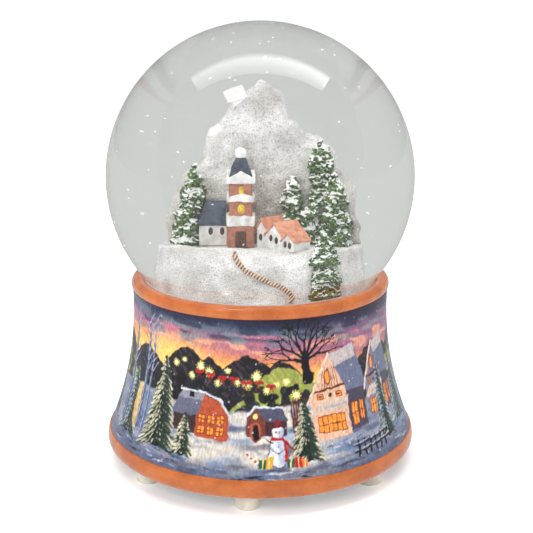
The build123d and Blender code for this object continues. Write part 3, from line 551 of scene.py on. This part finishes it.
def village(c):
    sky(c)
    humps = [(-25, 49.0, 11), (-17, 46.8, 9), (-4, 48.0, 13), (7, 46.4, 10), (26, 45.5, 10),
             (-44, 46.0, 13)]
    humps += [(45 + 21 * k, 47.5 + 1.6 * math.sin(k * 2.1), 15) for k in range(8)]
    humps += [(-66 - 21 * k, 47.5 + 1.6 * math.sin(k * 2.1 + 2.1), 15) for k in range(7)]
    ridge(c, humps, rgb(36, 32, 38), rgb(88, 76, 80))
    meadows = [(7.5, 44.6, 13), (-62, 42, 14), (62, 42.5, 14), (98, 43, 14), (-100, 43, 14), (130, 42, 14)]
    ridge(c, meadows, rgb(142, 150, 70), rgb(196, 194, 106))
    # dark copses along the foot of the hills, with dabs of frost
    for i in range(420):
        x, y = luck.uniform(-140, 140), luck.uniform(29, 41.5)
        if y > 38 and 0 < x < 15:
            y -= 6
        c.oval(x, y, luck.uniform(1.0, 2.2), luck.uniform(0.8, 2.0),
               rgb(30, 32, 38) * luck.uniform(0.7, 1.4), 0.9)
    for i in range(260):
        x, y = luck.uniform(-140, 140), luck.uniform(29, 41)
        c.stroke([(x, y, 0.3), (x + luck.uniform(-1, 1), y + luck.uniform(0.4, 1.6), 0.12)],
                 rgb(112, 128, 140), 0.55)
    snow_field(c)
    barn(c, -29.0, 22.6, 19.5, 13.2, rgb(174, 78, 50))
    shed(c, -5.0, 24.0, 13.5, 8.6)
    for k in range(7):
        lean = 0.35 * (k - 3)
        c.stroke([(10.5 + 0.5 * k, 23, 0.8), (10.5 + 0.5 * k + lean, 37 - abs(k - 3), 0.4)],
                 rgb(84, 36, 40))
    for i in range(14):
        star_lamp(c, -29 + 3.1 * i, 43.6 - 0.42 * i + 2.3 * math.sin(i * 2.3),
                  0.95 + 0.25 * math.sin(i * 5.0))
    for i in range(7):
        x, y = -20 + 3.9 * i, 42.0 - 0.5 * i + 1.8 * math.sin(i * 3.1)
        for side in (-1, 1):
            c.oval(x + 0.8 * side, y + 0.2, 0.85, 0.55, RED)
            c.stroke([(x, y, 0.4), (x + 0.7 * side, y - 1.9, 0.2)], rgb(150, 26, 30))
    bare_tree(c, 14.6, 40.5, 46.5, 2.6, INK)
    cottage(c, 16.6, 21.5, 20.5, 25.5, rgb(224, 178, 148))
    cottage(c, 38.5, 23, 15, 24, rgb(122, 124, 148))
    for k, x in enumerate((84, -82, -102, 104, 126, -130)):
        (barn if k % 2 else cottage)(c, x, 22, 16, 15, rgb(170, 88, 60) if k % 2 else rgb(214, 176, 146))
    bare_tree(c, 74, 20, 44, 2.4, INK)
    bare_tree(c, -116, 20, 44, 2.4, INK)
    warm, cold = rgb(226, 220, 184), rgb(178, 192, 204)
    trees = ((-33.5, 17.5, 44.5, 7.2, warm), (-23.8, 17.0, 28.5, 3.4, warm), (13.6, 17.0, 34.0, 4.8, warm),
             (45.5, 17, 39, 4.4, cold), (-49.5, 17, 38, 5.2, cold), (57, 19, 40, 5.6, cold),
             (-66, 19, 41, 6, cold), (66, 18, 34, 4.6, cold), (95, 19, 38, 5.4, warm),
             (-91, 18, 38, 5.4, warm), (118, 20, 42, 6, cold), (-111, 19, 37, 5, warm),
             (136, 18, 36, 5, cold))
    for x, low, high, reach, snow in trees:
        fir_tree(c, x, low, high, reach, snow)
    snowman(c, 5.2, 15.4)
    for i in range(6):
        c.stroke([(30.5 + i * 2.4, 14.6, 0.8), (30.8 + i * 2.4, 18.8, 0.6)], INK)
    for y in (15.6, 17.6):
        c.stroke([(29, y, 0.5), (45, y + 1.0, 0.6)], INK)
        c.stroke([(29, y + 0.5, 0.3), (45, y + 1.5, 0.3)], SNOW, 0.8)
    # a lantern glow at the left end, and pale frosted trunks, the last of them over the seam at the back
    c.oval(-45.5, 26, 2.4, 7.5, rgb(236, 190, 110), 0.75)
    for x, w in ((-40.5, 1.0), (-43.5, 1.6), (-53.5, 2.2), (61.5, 2.0), (141.4, 2.4), (-141.4, 2.4)):
        c.stroke([(x - 0.6, 20, w * 1.2), (x, 36, w), (x + 0.8, 48, w * 0.7), (x + 0.4, 59, w * 0.4)],
                 rgb(76, 88, 120))
        c.stroke([(x - 0.9, 20, 0.4), (x - 0.3, 36, 0.4), (x + 0.6, 52, 0.3)], rgb(180, 192, 214), 0.8)
        for k in range(6):
            y = 38 + 3 * k
            c.stroke([(x + 0.4, y, 0.5), (x + 2.6, y + 3, 0.34), (x + 4.4, y + 4.4, 0.1)],
                     rgb(150, 158, 186), 0.9)
            c.stroke([(x + 0.4, y - 1, 0.5), (x - 2.2, y + 2, 0.34), (x - 3.8, y + 3, 0.1)],
                     rgb(96, 104, 140), 0.9)
    for i in range(260):
        x, y, size = luck.uniform(-140, 140), luck.uniform(13, 58), luck.uniform(0.1, 0.24)
        c.oval(x, y, size, size, rgb(236, 238, 244), 0.85)
    c.paint *= (0.88 + 0.24 * noise(c.x * 2.2, c.y, 0.8, 18))[:, None]


def to_linear(paint):
    paint = np.clip(paint, 0, 1)
    return np.where(paint <= 0.04045, paint / 12.92, ((paint + 0.055) / 1.055) ** 2.4)


picture_ink, tree, shader = new_material("village_print", (0.3, 0.35, 0.45), 0.38)
ink = add(tree, "VertexColor")
ink.layer_name = "print"
grain = add(tree, "TexNoise", Scale=2600.0, Detail=2.0)
brush = add_mix(tree, "OVERLAY", 0.22)
link(tree, (add(tree, "TexCoord"), "Object", grain, "Vector"), (ink, "Color", brush, 6),
     (grain, "Fac", brush, 7), (brush, 2, shader, "Base Color"))
add_bump(tree, shader, grain, "Fac", 0.12, 0.0002)
shader.inputs["Coat Weight"].default_value = 0.12
shader.inputs["Coat Roughness"].default_value = 0.16
shader.inputs["Specular IOR Level"].default_value = 0.3

halves = (("picture_front", -86.0, 86.0, 580, 170),
          ("picture_back", 86.0, 274.0, 480, 140))
print_r = 45.0
for name, start, end, columns, rows in halves:
    piece, turn, z = picture_half(name, start, end, columns, rows)
    turn = np.where(turn > math.pi, turn - 2 * math.pi, turn)
    canvas = Canvas(turn * print_r, z)
    luck = np.random.default_rng(20)
    village(canvas)
    shade = np.ones((len(z), 4))
    shade[:, :3] = to_linear(canvas.paint)
    layer = piece.data.color_attributes.new("print", "FLOAT_COLOR", "POINT")
    layer.data.foreach_set("color", shade.ravel())
    make_active(piece)
    bpy.ops.object.shade_smooth()
    finish_with(piece, picture_ink)
    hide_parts("picture_wrap")
    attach(piece, "globe")

# ---------------------------------------------------------------------------
# GLASS BALL AND WATER
# A blown 100 mm ball with a short neck, filled with water. Lamp light passes
# straight through to the scene, while the eye sees it bent and enlarged.

def clear_material(name, tint, index):
    material, tree, shader = new_material(name, tint, 0.0)
    shader.inputs["Transmission Weight"].default_value = 1.0
    shader.inputs["IOR"].default_value = index
    path = add(tree, "LightPath")
    either = add_maths(tree, "MAXIMUM")
    open_way = add(tree, "BsdfTransparent", Color=(0.97, 0.97, 0.97, 1))
    both = add(tree, "MixShader")
    link(tree, (path, "Is Shadow Ray", either, 0), (path, "Is Diffuse Ray", either, 1), (either, 0, both, 0),
         (shader, 0, both, 1), (open_way, 0, both, 2), (both, 0, tree.nodes["Material Output"], "Surface"))
    return material


glass_wall, wet_gap = 2.0, 1.97
outer = arc(0, ball_z, ball_r, -45.5, 90, 60)
inner = arc(0, ball_z, ball_r - glass_wall, 90, -46.5, 60)
glass_outline = [(33.0, 52.0), (35.0, 52.0), (35.0, 58.6)] + outer[:-1] + [(0.0, ball_z + ball_r)]
glass_outline += [(0.0, ball_z + ball_r - glass_wall)] + inner[1:] + [(33.0, 59.8)]
glass = turned_piece("glass_ball", glass_outline, 160)
finish_with(glass, clear_material("clear_glass", (0.985, 0.99, 0.988), 1.5))
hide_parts("glass_globe")
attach(glass, "globe")

wet = arc(0, ball_z, ball_r - wet_gap, -46.3, 90, 60)
water_outline = [(0.0, 60.2), (32.9, 60.2)] + wet[:-1] + [(0.0, ball_z + ball_r - wet_gap)]
water = turned_piece("water_fill", water_outline, 160)
finish_with(water, clear_material("still_water", (0.97, 0.98, 0.975), 1.33))
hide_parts("water")
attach(water, "globe")

# ---------------------------------------------------------------------------
# SNOW BANK AND MOUNTAIN
# Cast resin, brushed with thick white paint and rolled in glitter while wet,
# so it is lumpy, grainy and sparkles; warm grey shows in the hollows. Painted shade darkens
# the rock low down, behind the buildings.

def cloud(name, size):
    texture = bpy.data.textures.new(name, "CLOUDS")
    texture.noise_scale = size * mm
    texture.noise_depth = 2
    texture.contrast = 1.0
    return texture


def cast_copy(name, cad, grid, lumps, soft):
    # a mould-like skin over a copy of the drawn piece, then lumps pushed in and out
    piece = nodes[cad].copy()
    piece.data = nodes[cad].data.copy()
    piece.parent = None
    for key in list(piece.keys()):
        del piece[key]
    bpy.context.scene.collection.objects.link(piece)
    make_active(piece)
    bpy.ops.object.mode_set(mode="EDIT")
    bpy.ops.mesh.select_all(action="SELECT")
    bpy.ops.mesh.remove_doubles(threshold=1e-6)
    bpy.ops.object.mode_set(mode="OBJECT")
    skin = piece.modifiers.new("skin", "REMESH")
    skin.mode = "VOXEL"
    skin.voxel_size = grid * mm
    smooth = piece.modifiers.new("soft", "SMOOTH")
    smooth.iterations = soft
    smooth.factor = 0.5
    for label, size, height in lumps:
        push = piece.modifiers.new(label, "DISPLACE")
        push.texture = cloud(name + "_" + label, size)
        push.strength = height * mm
        push.mid_level = 0.5
        push.texture_coords = "LOCAL"
    apply_all(piece)
    bpy.ops.object.shade_smooth()
    return settle(piece, name)


def snow_material(name, foot):
    # white paint, warm grey in the pits, painted shade below the foot height, and bright grains of glitter
    warm, cool = (0.54, 0.525, 0.50), (0.84, 0.835, 0.82)
    material, tree, shader = new_material(name, cool, 0.7)
    place = add(tree, "TexCoord")
    broad = add(tree, "TexNoise", Scale=150.0, Detail=4.0)
    grains = add(tree, "TexVoronoi", Scale=2300.0)
    dots = add(tree, "TexNoise", Scale=2400.0, Detail=1.0)
    tone = add_ramp(tree, 0.3, 0.6, warm, cool)
    pits = add_ramp(tree, 0.34, 0.47, (0.50, 0.48, 0.45))
    gleam = add_ramp(tree, 0.05, 0.14, (0.15, 0.15, 0.15), (0.75, 0.75, 0.75))
    shade = add_mix(tree, "MULTIPLY", 0.75)
    axes = add(tree, "SeparateXYZ")
    # painted shade: darkest at and below the foot height, gone 22 mm above it
    height = add(tree, "MapRange", From_Min=foot, From_Max=foot + 0.022)
    painted_foot_shade = add_mix(tree, over=(1, 1, 1))
    painted_foot_shade.inputs[6].default_value = (0.66, 0.63, 0.57, 1)
    low = add_mix(tree, "MULTIPLY", 1.0)
    link(tree, *((place, "Object", pattern, "Vector") for pattern in (broad, grains, dots)))
    link(tree, (broad, "Fac", tone, "Fac"), (dots, "Fac", pits, "Fac"), (tone, "Color", shade, 6),
         (pits, "Color", shade, 7), (place, "Object", axes, 0), (axes, "Z", height, "Value"),
         (height, "Result", painted_foot_shade, 0), (shade, 2, low, 6), (painted_foot_shade, 2, low, 7), (low, 2, shader, "Base Color"),
         (grains, "Distance", gleam, "Fac"), (gleam, "Color", shader, "Roughness"))
    add_bump(tree, shader, grains, "Distance", 0.9, 0.0003)
    return material


snow_paint = snow_material("glitter_snow", 0.03)
# the rock's foot sits at the terrace, so its painted shade falls low behind the buildings
rock_paint = snow_material("glitter_rock", 0.078)
hill_lumps = (("swell", 7.0, 1.6), ("lump", 1.8, 0.5), ("grain", 0.7, 0.22))
hill = cast_copy("snow_bank", "snow_hill", 0.4, hill_lumps, 6)
finish_with(hill, snow_paint)
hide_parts("snow_hill")
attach(hill, "globe")

peak_lumps = (("crag", 9.0, 3.4), ("ridge", 4.0, 1.7), ("lump", 1.6, 0.6), ("grain", 0.7, 0.25))
peak = cast_copy("rock_peak", "mountain", 0.4, peak_lumps, 10)
finish_with(peak, rock_paint)
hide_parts("mountain")
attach(peak, "globe")

# ---------------------------------------------------------------------------
# FIRS
# Small cast firs, lumpy with clipped needles, stippled dark green and dabbed
# with white paint on whatever faces up.

def fir_material():
    material, tree, shader = new_material("fir_green", (0.05, 0.12, 0.04), 0.75)
    place = add(tree, "TexCoord")
    axes = add(tree, "SeparateXYZ")
    dabs = add(tree, "TexNoise", Scale=430.0, Detail=3.0)
    needles = add(tree, "TexNoise", Scale=1500.0, Detail=2.0)
    up = add_maths(tree, "MULTIPLY_ADD", 0.30)
    cover = add_ramp(tree, 0.60, 0.65)
    green = add_ramp(tree, 0.4, 0.62, (0.006, 0.016, 0.006), (0.16, 0.30, 0.075))
    blend = add_mix(tree, over=(0.88, 0.89, 0.88))
    link(tree, (place, "Object", dabs, "Vector"), (place, "Object", needles, "Vector"),
         (add(tree, "NewGeometry"), "Normal", axes, 0), (axes, "Z", up, 0), (dabs, "Fac", up, 2),
         (up, 0, cover, "Fac"), (needles, "Fac", green, "Fac"), (cover, "Color", blend, 0),
         (green, "Color", blend, 6), (blend, 2, shader, "Base Color"))
    add_bump(tree, shader, needles, "Fac", 0.8, 0.0004)
    return material


fir_green = fir_material()
fir_lumps = (("bough", 2.4, 3.0), ("twig", 1.1, 2.0), ("needle", 0.55, 0.8))
for node in sorted(n for n in nodes if n.startswith("fir_")):
    tree_piece = cast_copy(node + "_cast", node, 0.26, fir_lumps, 2)
    finish_with(tree_piece, fir_green)
    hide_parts(node)
    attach(tree_piece, "globe")

# ---------------------------------------------------------------------------
# CHURCH AND HOUSES
# Cast buildings with soft, hand-filed edges: white walls, a brick tower with
# thick white cornices, slate-blue and terracotta roofs, touched up by brush.

def capped(material, height):
    # white paint dabbed over everything above this height
    tree = material.node_tree
    shader = tree.nodes["Principled BSDF"]
    below = shader.inputs["Base Color"].links[0].from_socket
    axes = add(tree, "SeparateXYZ")
    above = add_maths(tree, "GREATER_THAN", height)
    snowy = add_mix(tree, over=(0.88, 0.88, 0.87))
    tree.links.new(below, snowy.inputs[6])
    link(tree, (add(tree, "TexCoord"), "Object", axes, 0), (axes, "Z", above, 0), (above, 0, snowy, 0),
         (snowy, 2, shader, "Base Color"))
    return material


white_wall = painted("white_wall", (0.62, 0.61, 0.58), (0.88, 0.88, 0.86), 420.0, 0.25, 0.75, 0.35)
brick = painted("brick_paint", (0.34, 0.12, 0.075), (0.52, 0.21, 0.14), 700.0, 0.5, 0.7, 0.5)
slate_look = ((0.015, 0.025, 0.045), (0.06, 0.085, 0.13), 700.0, 0.4, 0.5, 0.5)
snow_cap_foot = 0.1003
slate = painted("slate_paint", *slate_look)
slate_capped = capped(painted("capped_slate", *slate_look), snow_cap_foot)
tile = painted("terracotta_paint", (0.52, 0.19, 0.11), (0.78, 0.36, 0.22), 600.0, 0.3, 0.65, 0.5)
cast_jobs = (
    ("tower_cast", "church_tower", 0.16, 0.16, brick, "brick_paint"),
    ("cornices_cast", "tower_bands", 0.12, 0.55, white_wall, "wall_paint"),
    ("tower_roof_cast", "tower_roof", 0.14, 0.6, slate_capped, "slate_paint"),
    ("nave_cast", "church_nave", 0.16, 0.16, white_wall, "wall_paint"),
    ("nave_roof_cast", "nave_roof", 0.14, 0.3, slate, "slate_paint"),
)
for step in ("upper", "middle", "lower"):
    cast_jobs += ((step + "_house_cast", "house_" + step, 0.15, 0.16, white_wall, "wall_paint"),)
for step in ("upper", "middle", "lower"):
    cast_jobs += ((step + "_tiles", "house_roof_" + step, 0.13, 0.25, tile, "tile_paint"),)
for name, cad, grid, rough, material, finish_slot in cast_jobs:
    piece = cast_copy(name, cad, grid, (("filed", 1.4, rough),), 3)
    finish_with(piece, material)
    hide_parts(cad)
    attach(piece, "globe")


def inlay(name, origin, turn, outline, depth, material):
    # a raised patch of paint with rounded rims: its outline is in millimetres on the wall,
    # and it is pushed out along the wall's face
    deselect()
    bpy.ops.mesh.primitive_circle_add(vertices=len(outline), radius=0.001, fill_type="NGON",
                                      location=(0, 0, 0))
    piece = bpy.context.object
    for vertex, (u, v) in zip(piece.data.vertices, outline):
        vertex.co = (u * mm, 0, v * mm)
    bpy.ops.object.mode_set(mode="EDIT")
    bpy.ops.mesh.select_all(action="SELECT")
    bpy.ops.mesh.extrude_region_move(TRANSFORM_OT_translate={"value": (0, -depth * mm, 0)})
    bpy.ops.mesh.select_all(action="SELECT")
    bpy.ops.mesh.normals_make_consistent(inside=False)
    bpy.ops.mesh.bevel(offset=depth * 0.3 * mm, segments=2)
    bpy.ops.object.mode_set(mode="OBJECT")
    place = Matrix.Translation(Vector(origin) * mm) @ Matrix.Rotation(math.radians(turn), 4, "Z")
    piece.data.transform(place)
    settle(piece, name)
    bpy.ops.object.shade_smooth_by_angle(angle=math.radians(50))
    finish_with(piece, material)
    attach(piece, "globe")


def oval(u, v, wide, tall, count=20):
    points = []
    for i in range(count):
        angle = 2 * math.pi * i / count
        points.append((u + wide * math.cos(angle), v + tall * math.sin(angle)))
    return points


terrace = 78.14
tower_x, tower_front = -4.8, -4.25
house_turn = -45
dark_pane = painted("dark_pane", (0.02, 0.008, 0.006), (0.06, 0.02, 0.016), 900.0, 0.2, 0.4, 0.3)
door_brown = painted("door_brown", (0.045, 0.014, 0.01), (0.13, 0.045, 0.03), 900.0, 0.5, 0.5, 0.6)
lamp_yellow = painted("lamp_yellow", (0.62, 0.36, 0.01), (0.9, 0.7, 0.03), 900.0, 0.4, 0.5, 0.6)
for k, u in enumerate((2.8, 5.6)):
    inlay("nave_window_%d" % k, (-14.9, 0.05, terrace), 0, oval(u, 3.6, 0.55, 0.95), 0.16,
          dark_pane)
door_outline = [(-1.35, 0.2), (1.35, 0.2), (1.35, 3.7), (1.1, 4.1), (-1.1, 4.1), (-1.35, 3.7)]
inlay("church_door", (tower_x, tower_front, terrace), 0, door_outline, 0.2, door_brown)
for k, (v, wide, tall) in enumerate(((9.6, 0.95, 1.2), (14.2, 0.65, 1.1))):
    inlay("tower_window_%d" % k, (tower_x, tower_front + 0.5, terrace), 0, oval(0.1, v, wide, tall, 10), 0.3,
          lamp_yellow)
house_windows = (("upper", 0.35, -4.75, ((-0.2, 2.9),)), ("middle", 3.4, -8.6, ((-0.9, 3.1), (1.0, 2.6))),
                 ("lower", 6.95, -12.55, ((-0.8, 1.9), (0.8, 1.7))))
for name, x, y, spots in house_windows:
    for k, (u, v) in enumerate(spots):
        inlay("pane_%s_%d" % (name, k), (x, y, terrace - 0.2), house_turn, oval(u, v, 0.5, 0.85), 0.25,
              dark_pane)

# ---------------------------------------------------------------------------
# STEPPED PATH AND SNOW FLAKES
# The path is a ribbon of pressed treads painted brown, with painted shade between the
# treads and painted light on them; the flakes are thin white plastic discs that hang in the water.

path_brown, tree, shader = new_material("path_brown", (0.5, 0.25, 0.12), 0.7)
tread_pitch = 0.00085
place = add(tree, "TexCoord")
along = add(tree, "VectorMath")
along.operation = "DOT_PRODUCT"
along.inputs[1].default_value = (0.80, 0.0, -0.60)
# painted shade and light: the colour runs from dark brown between the treads to pale tan on them, and the
# same bands raise the bump
treads = add_maths(tree, "MULTIPLY", 2 * math.pi / tread_pitch)
wave = add_maths(tree, "SINE")
smudge = add(tree, "TexNoise", Scale=700.0)
tread_shade_and_light = add_maths(tree, "MULTIPLY_ADD", 0.35)
tone = add_ramp(tree, 0.30, 0.62, (0.17, 0.055, 0.02), (0.74, 0.56, 0.40))
link(tree, (place, "Object", along, 0), (along, "Value", treads, 0), (treads, 0, wave, 0),
     (place, "Object", smudge, "Vector"), (wave, 0, tread_shade_and_light, 0), (smudge, "Fac", tread_shade_and_light, 2),
     (tread_shade_and_light, 0, tone, "Fac"), (tone, "Color", shader, "Base Color"))
add_bump(tree, shader, tread_shade_and_light, 0, 0.9, 0.0004)
path = cast_copy("path_treads", "stair_path", 0.16, (("tread", 0.9, 0.4),), 1)
finish_with(path, path_brown)
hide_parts("stair_path")
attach(path, "globe")
flake_white = painted("flake_white", (0.85, 0.86, 0.87), (0.97, 0.97, 0.97), 500.0, 0.0, 0.5, 0.05)
finish_with(nodes["snow_flakes"], flake_white)

# ---------------------------------------------------------------------------
# FEET, BOTTOM PLATE, STOPPER, SEAL AND MOVEMENT
# Moulded and turned parts that keep their drawn shapes; each gets the finish
# it leaves the mould, the lathe or the plating bath with.

ivory = painted("ivory_rubber", (0.62, 0.58, 0.48), (0.76, 0.72, 0.62), 300.0, 0.15, 0.6, 0.15)
black_moulded = painted("black_moulded", (0.012, 0.012, 0.013), (0.03, 0.03, 0.032), 500.0, 0.2, 0.5, 0.2)
stopper_grey = painted("stopper_rubber", (0.55, 0.55, 0.53), (0.72, 0.72, 0.70), 260.0, 0.1, 0.7, 0.15)
silicone = painted("seal_silicone", (0.7, 0.7, 0.68), (0.85, 0.85, 0.83), 300.0, 0.0, 0.35, 0.05)


def metal(name, dark, light, roughness, scale):
    material = painted(name, dark, light, scale, 0.15, roughness, 0.08)
    material.node_tree.nodes["Principled BSDF"].inputs["Metallic"].default_value = 1.0
    return material


brass = metal("turned_brass", (0.55, 0.36, 0.12), (0.80, 0.58, 0.24), 0.28, 500.0)
nickel = metal("nickel_plate", (0.55, 0.54, 0.52), (0.75, 0.74, 0.72), 0.18, 400.0)
steel = metal("zinc_steel", (0.42, 0.43, 0.45), (0.62, 0.63, 0.66), 0.32, 600.0)
blued = metal("blued_steel", (0.10, 0.12, 0.20), (0.25, 0.27, 0.36), 0.25, 500.0)
zinc = metal("cast_zinc", (0.38, 0.38, 0.38), (0.55, 0.55, 0.54), 0.5, 300.0)
nylon = painted("white_nylon", (0.72, 0.72, 0.70), (0.85, 0.85, 0.83), 300.0, 0.0, 0.4, 0.05)
for name in nodes:
    if name.startswith("foot_"):
        finish_with(nodes[name], ivory)
plain = {"bottom_plate": black_moulded, "globe_stopper": stopper_grey, "globe_seal": silicone,
         "main_gear": brass,
         "drum": brass, "governor_wheel": brass, "winding_key": nickel, "spring_case": nickel,
         "governor_frame": nickel,
         "winding_arbor": steel, "plate_screws": steel, "movement_screws": steel, "small_screws": steel,
         "comb_screws": steel, "comb": blued, "mainspring": blued, "bedplate": zinc, "governor_fly": nylon}
for name, material in plain.items():
    finish_with(nodes[name], material)

# ---------------------------------------------------------------------------
# STUDIO
# A pale floor under soft white light from above and both sides, with a long
# lens at table height looking slightly down.

bpy.ops.mesh.primitive_plane_add(size=30.0, location=(0, 0, 0))
floor = bpy.context.object
floor.name = "floor"
floor_paint, tree, shader = new_material("pale_floor", (0.9, 0.9, 0.9), 0.7)
# the floor glows a little, more so away from the base, as a lit sweep does
distance = add(tree, "VectorMath")
distance.operation = "LENGTH"
glow = add(tree, "MapRange", From_Min=0.06, From_Max=0.30, To_Min=0.30, To_Max=0.66)
shader.inputs["Emission Color"].default_value = (1, 1, 1, 1)
# rays bent or mirrored by the ball meet this even grey instead
pale_grey = (0.672, 0.675, 0.658, 1)
bent = add(tree, "LightPath")
behind = add(tree, "Emission", Color=pale_grey)
mirrored_too = add_maths(tree, "MAXIMUM")
either = add(tree, "MixShader")
link(tree, (add(tree, "TexCoord"), "Object", distance, 0), (distance, "Value", glow, "Value"),
     (glow, "Result", shader, "Emission Strength"), (bent, "Is Transmission Ray", mirrored_too, 0),
     (bent, "Is Glossy Ray", mirrored_too, 1), (mirrored_too, 0, either, 0), (shader, 0, either, 1),
     (behind, 0, either, 2), (either, 0, tree.nodes["Material Output"], "Surface"))
finish_with(floor, floor_paint)

world = bpy.data.worlds.new("studio")
bpy.context.scene.world = world
world.use_nodes = True
tree = world.node_tree
backdrop = tree.nodes["Background"]
backdrop.inputs["Color"].default_value = (1, 1, 1, 1)
backdrop.inputs["Strength"].default_value = 0.42
through = add(tree, "Background", Color=pale_grey)
seen = add(tree, "Background", Color=(1, 1, 1, 1), Strength=1.05)
path_kind = add(tree, "LightPath")
first = add(tree, "MixShader")
second = add(tree, "MixShader")
link(tree, (path_kind, "Is Transmission Ray", first, 0), (backdrop, 0, first, 1), (through, 0, first, 2),
     (path_kind, "Is Camera Ray", second, 0), (first, 0, second, 1), (seen, 0, second, 2),
     (second, 0, tree.nodes["World Output"], "Surface"))


def softbox(name, place, aim, wide, tall, power, mirrored, tint=(1, 1, 1), roll=0):
    light = bpy.data.lights.new(name, "AREA")
    light.shape = "RECTANGLE"
    light.size = wide
    light.size_y = tall
    light.energy = power
    light.color = tint
    lamp = bpy.data.objects.new(name, light)
    bpy.context.scene.collection.objects.link(lamp)
    lamp.location = place
    direction = Vector(aim) - Vector(place)
    turned = direction.to_track_quat("-Z", "Y") @ Quaternion((0, 0, 1), math.radians(roll))
    lamp.rotation_euler = turned.to_euler()
    lamp.visible_glossy = mirrored
    lamp.visible_transmission = False
    return lamp


ball_centre = (0, 0, 0.095)
base_middle = (0, 0, 0.06)
strip = softbox("strip_softbox", (0.0, 0.095, 0.90), ball_centre, 1.15, 0.30, 5.8, True)
# the strip is brightest near its far edge and dims towards the near one and the right
strip.data.use_nodes = True
tree = strip.data.node_tree
axes = add(tree, "SeparateXYZ")
depth_fade = add_ramp(tree, 0.0, 1.0, (0, 0, 0), (0.3, 0.3, 0.3))
depth_fade.color_ramp.elements.new(0.3).color = (1, 1, 1, 1)
side_fade = add(tree, "MapRange", To_Min=1.6, To_Max=0.8)
strength = add_maths(tree, "MULTIPLY")
link(tree, (add(tree, "NewGeometry"), "Parametric", axes, 0), (axes, "Y", depth_fade, "Fac"),
     (axes, "X", side_fade, "Value"), (depth_fade, "Color", strength, 0),
     (side_fade, "Result", strength, 1),
     (strength, 0, tree.nodes["Emission"], "Strength"))
rosy = (1, 0.90, 0.87)
softbox("key_softbox", (-0.185, -0.225, 0.752), ball_centre, 0.15, 0.13, 0.56, True, rosy, 48)
softbox("second_softbox", (-0.342, -0.421, 0.536), ball_centre, 0.09, 0.07, 0.17, True, rosy, 48)
softbox("top_softbox", (0.0, 0.0, 1.1), ball_centre, 0.8, 0.6, 3.0, False)
softbox("front_softbox", (-0.35, -0.9, 0.75), base_middle, 0.5, 0.5, 3.2, False)
softbox("side_softbox", (0.9, -0.3, 0.5), base_middle, 0.5, 0.5, 2.0, False)
softbox("left_softbox", (-0.9, -0.6, 0.5), base_middle, 0.5, 0.5, 3.4, False)

look_down = 14.55
lens = bpy.data.cameras.new("camera")
lens.sensor_width = 36.0
lens.lens = 75.89
lens.shift_x = 0.0118
lens.clip_start = 0.01
camera = bpy.data.objects.new("camera", lens)
bpy.context.scene.collection.objects.link(camera)
camera.location = (0.0, -0.3618, 0.1589)
camera.rotation_euler = (math.radians(90 - look_down), 0, 0)
bpy.context.scene.camera = camera
bpy.context.scene.view_settings.view_transform = "Standard"
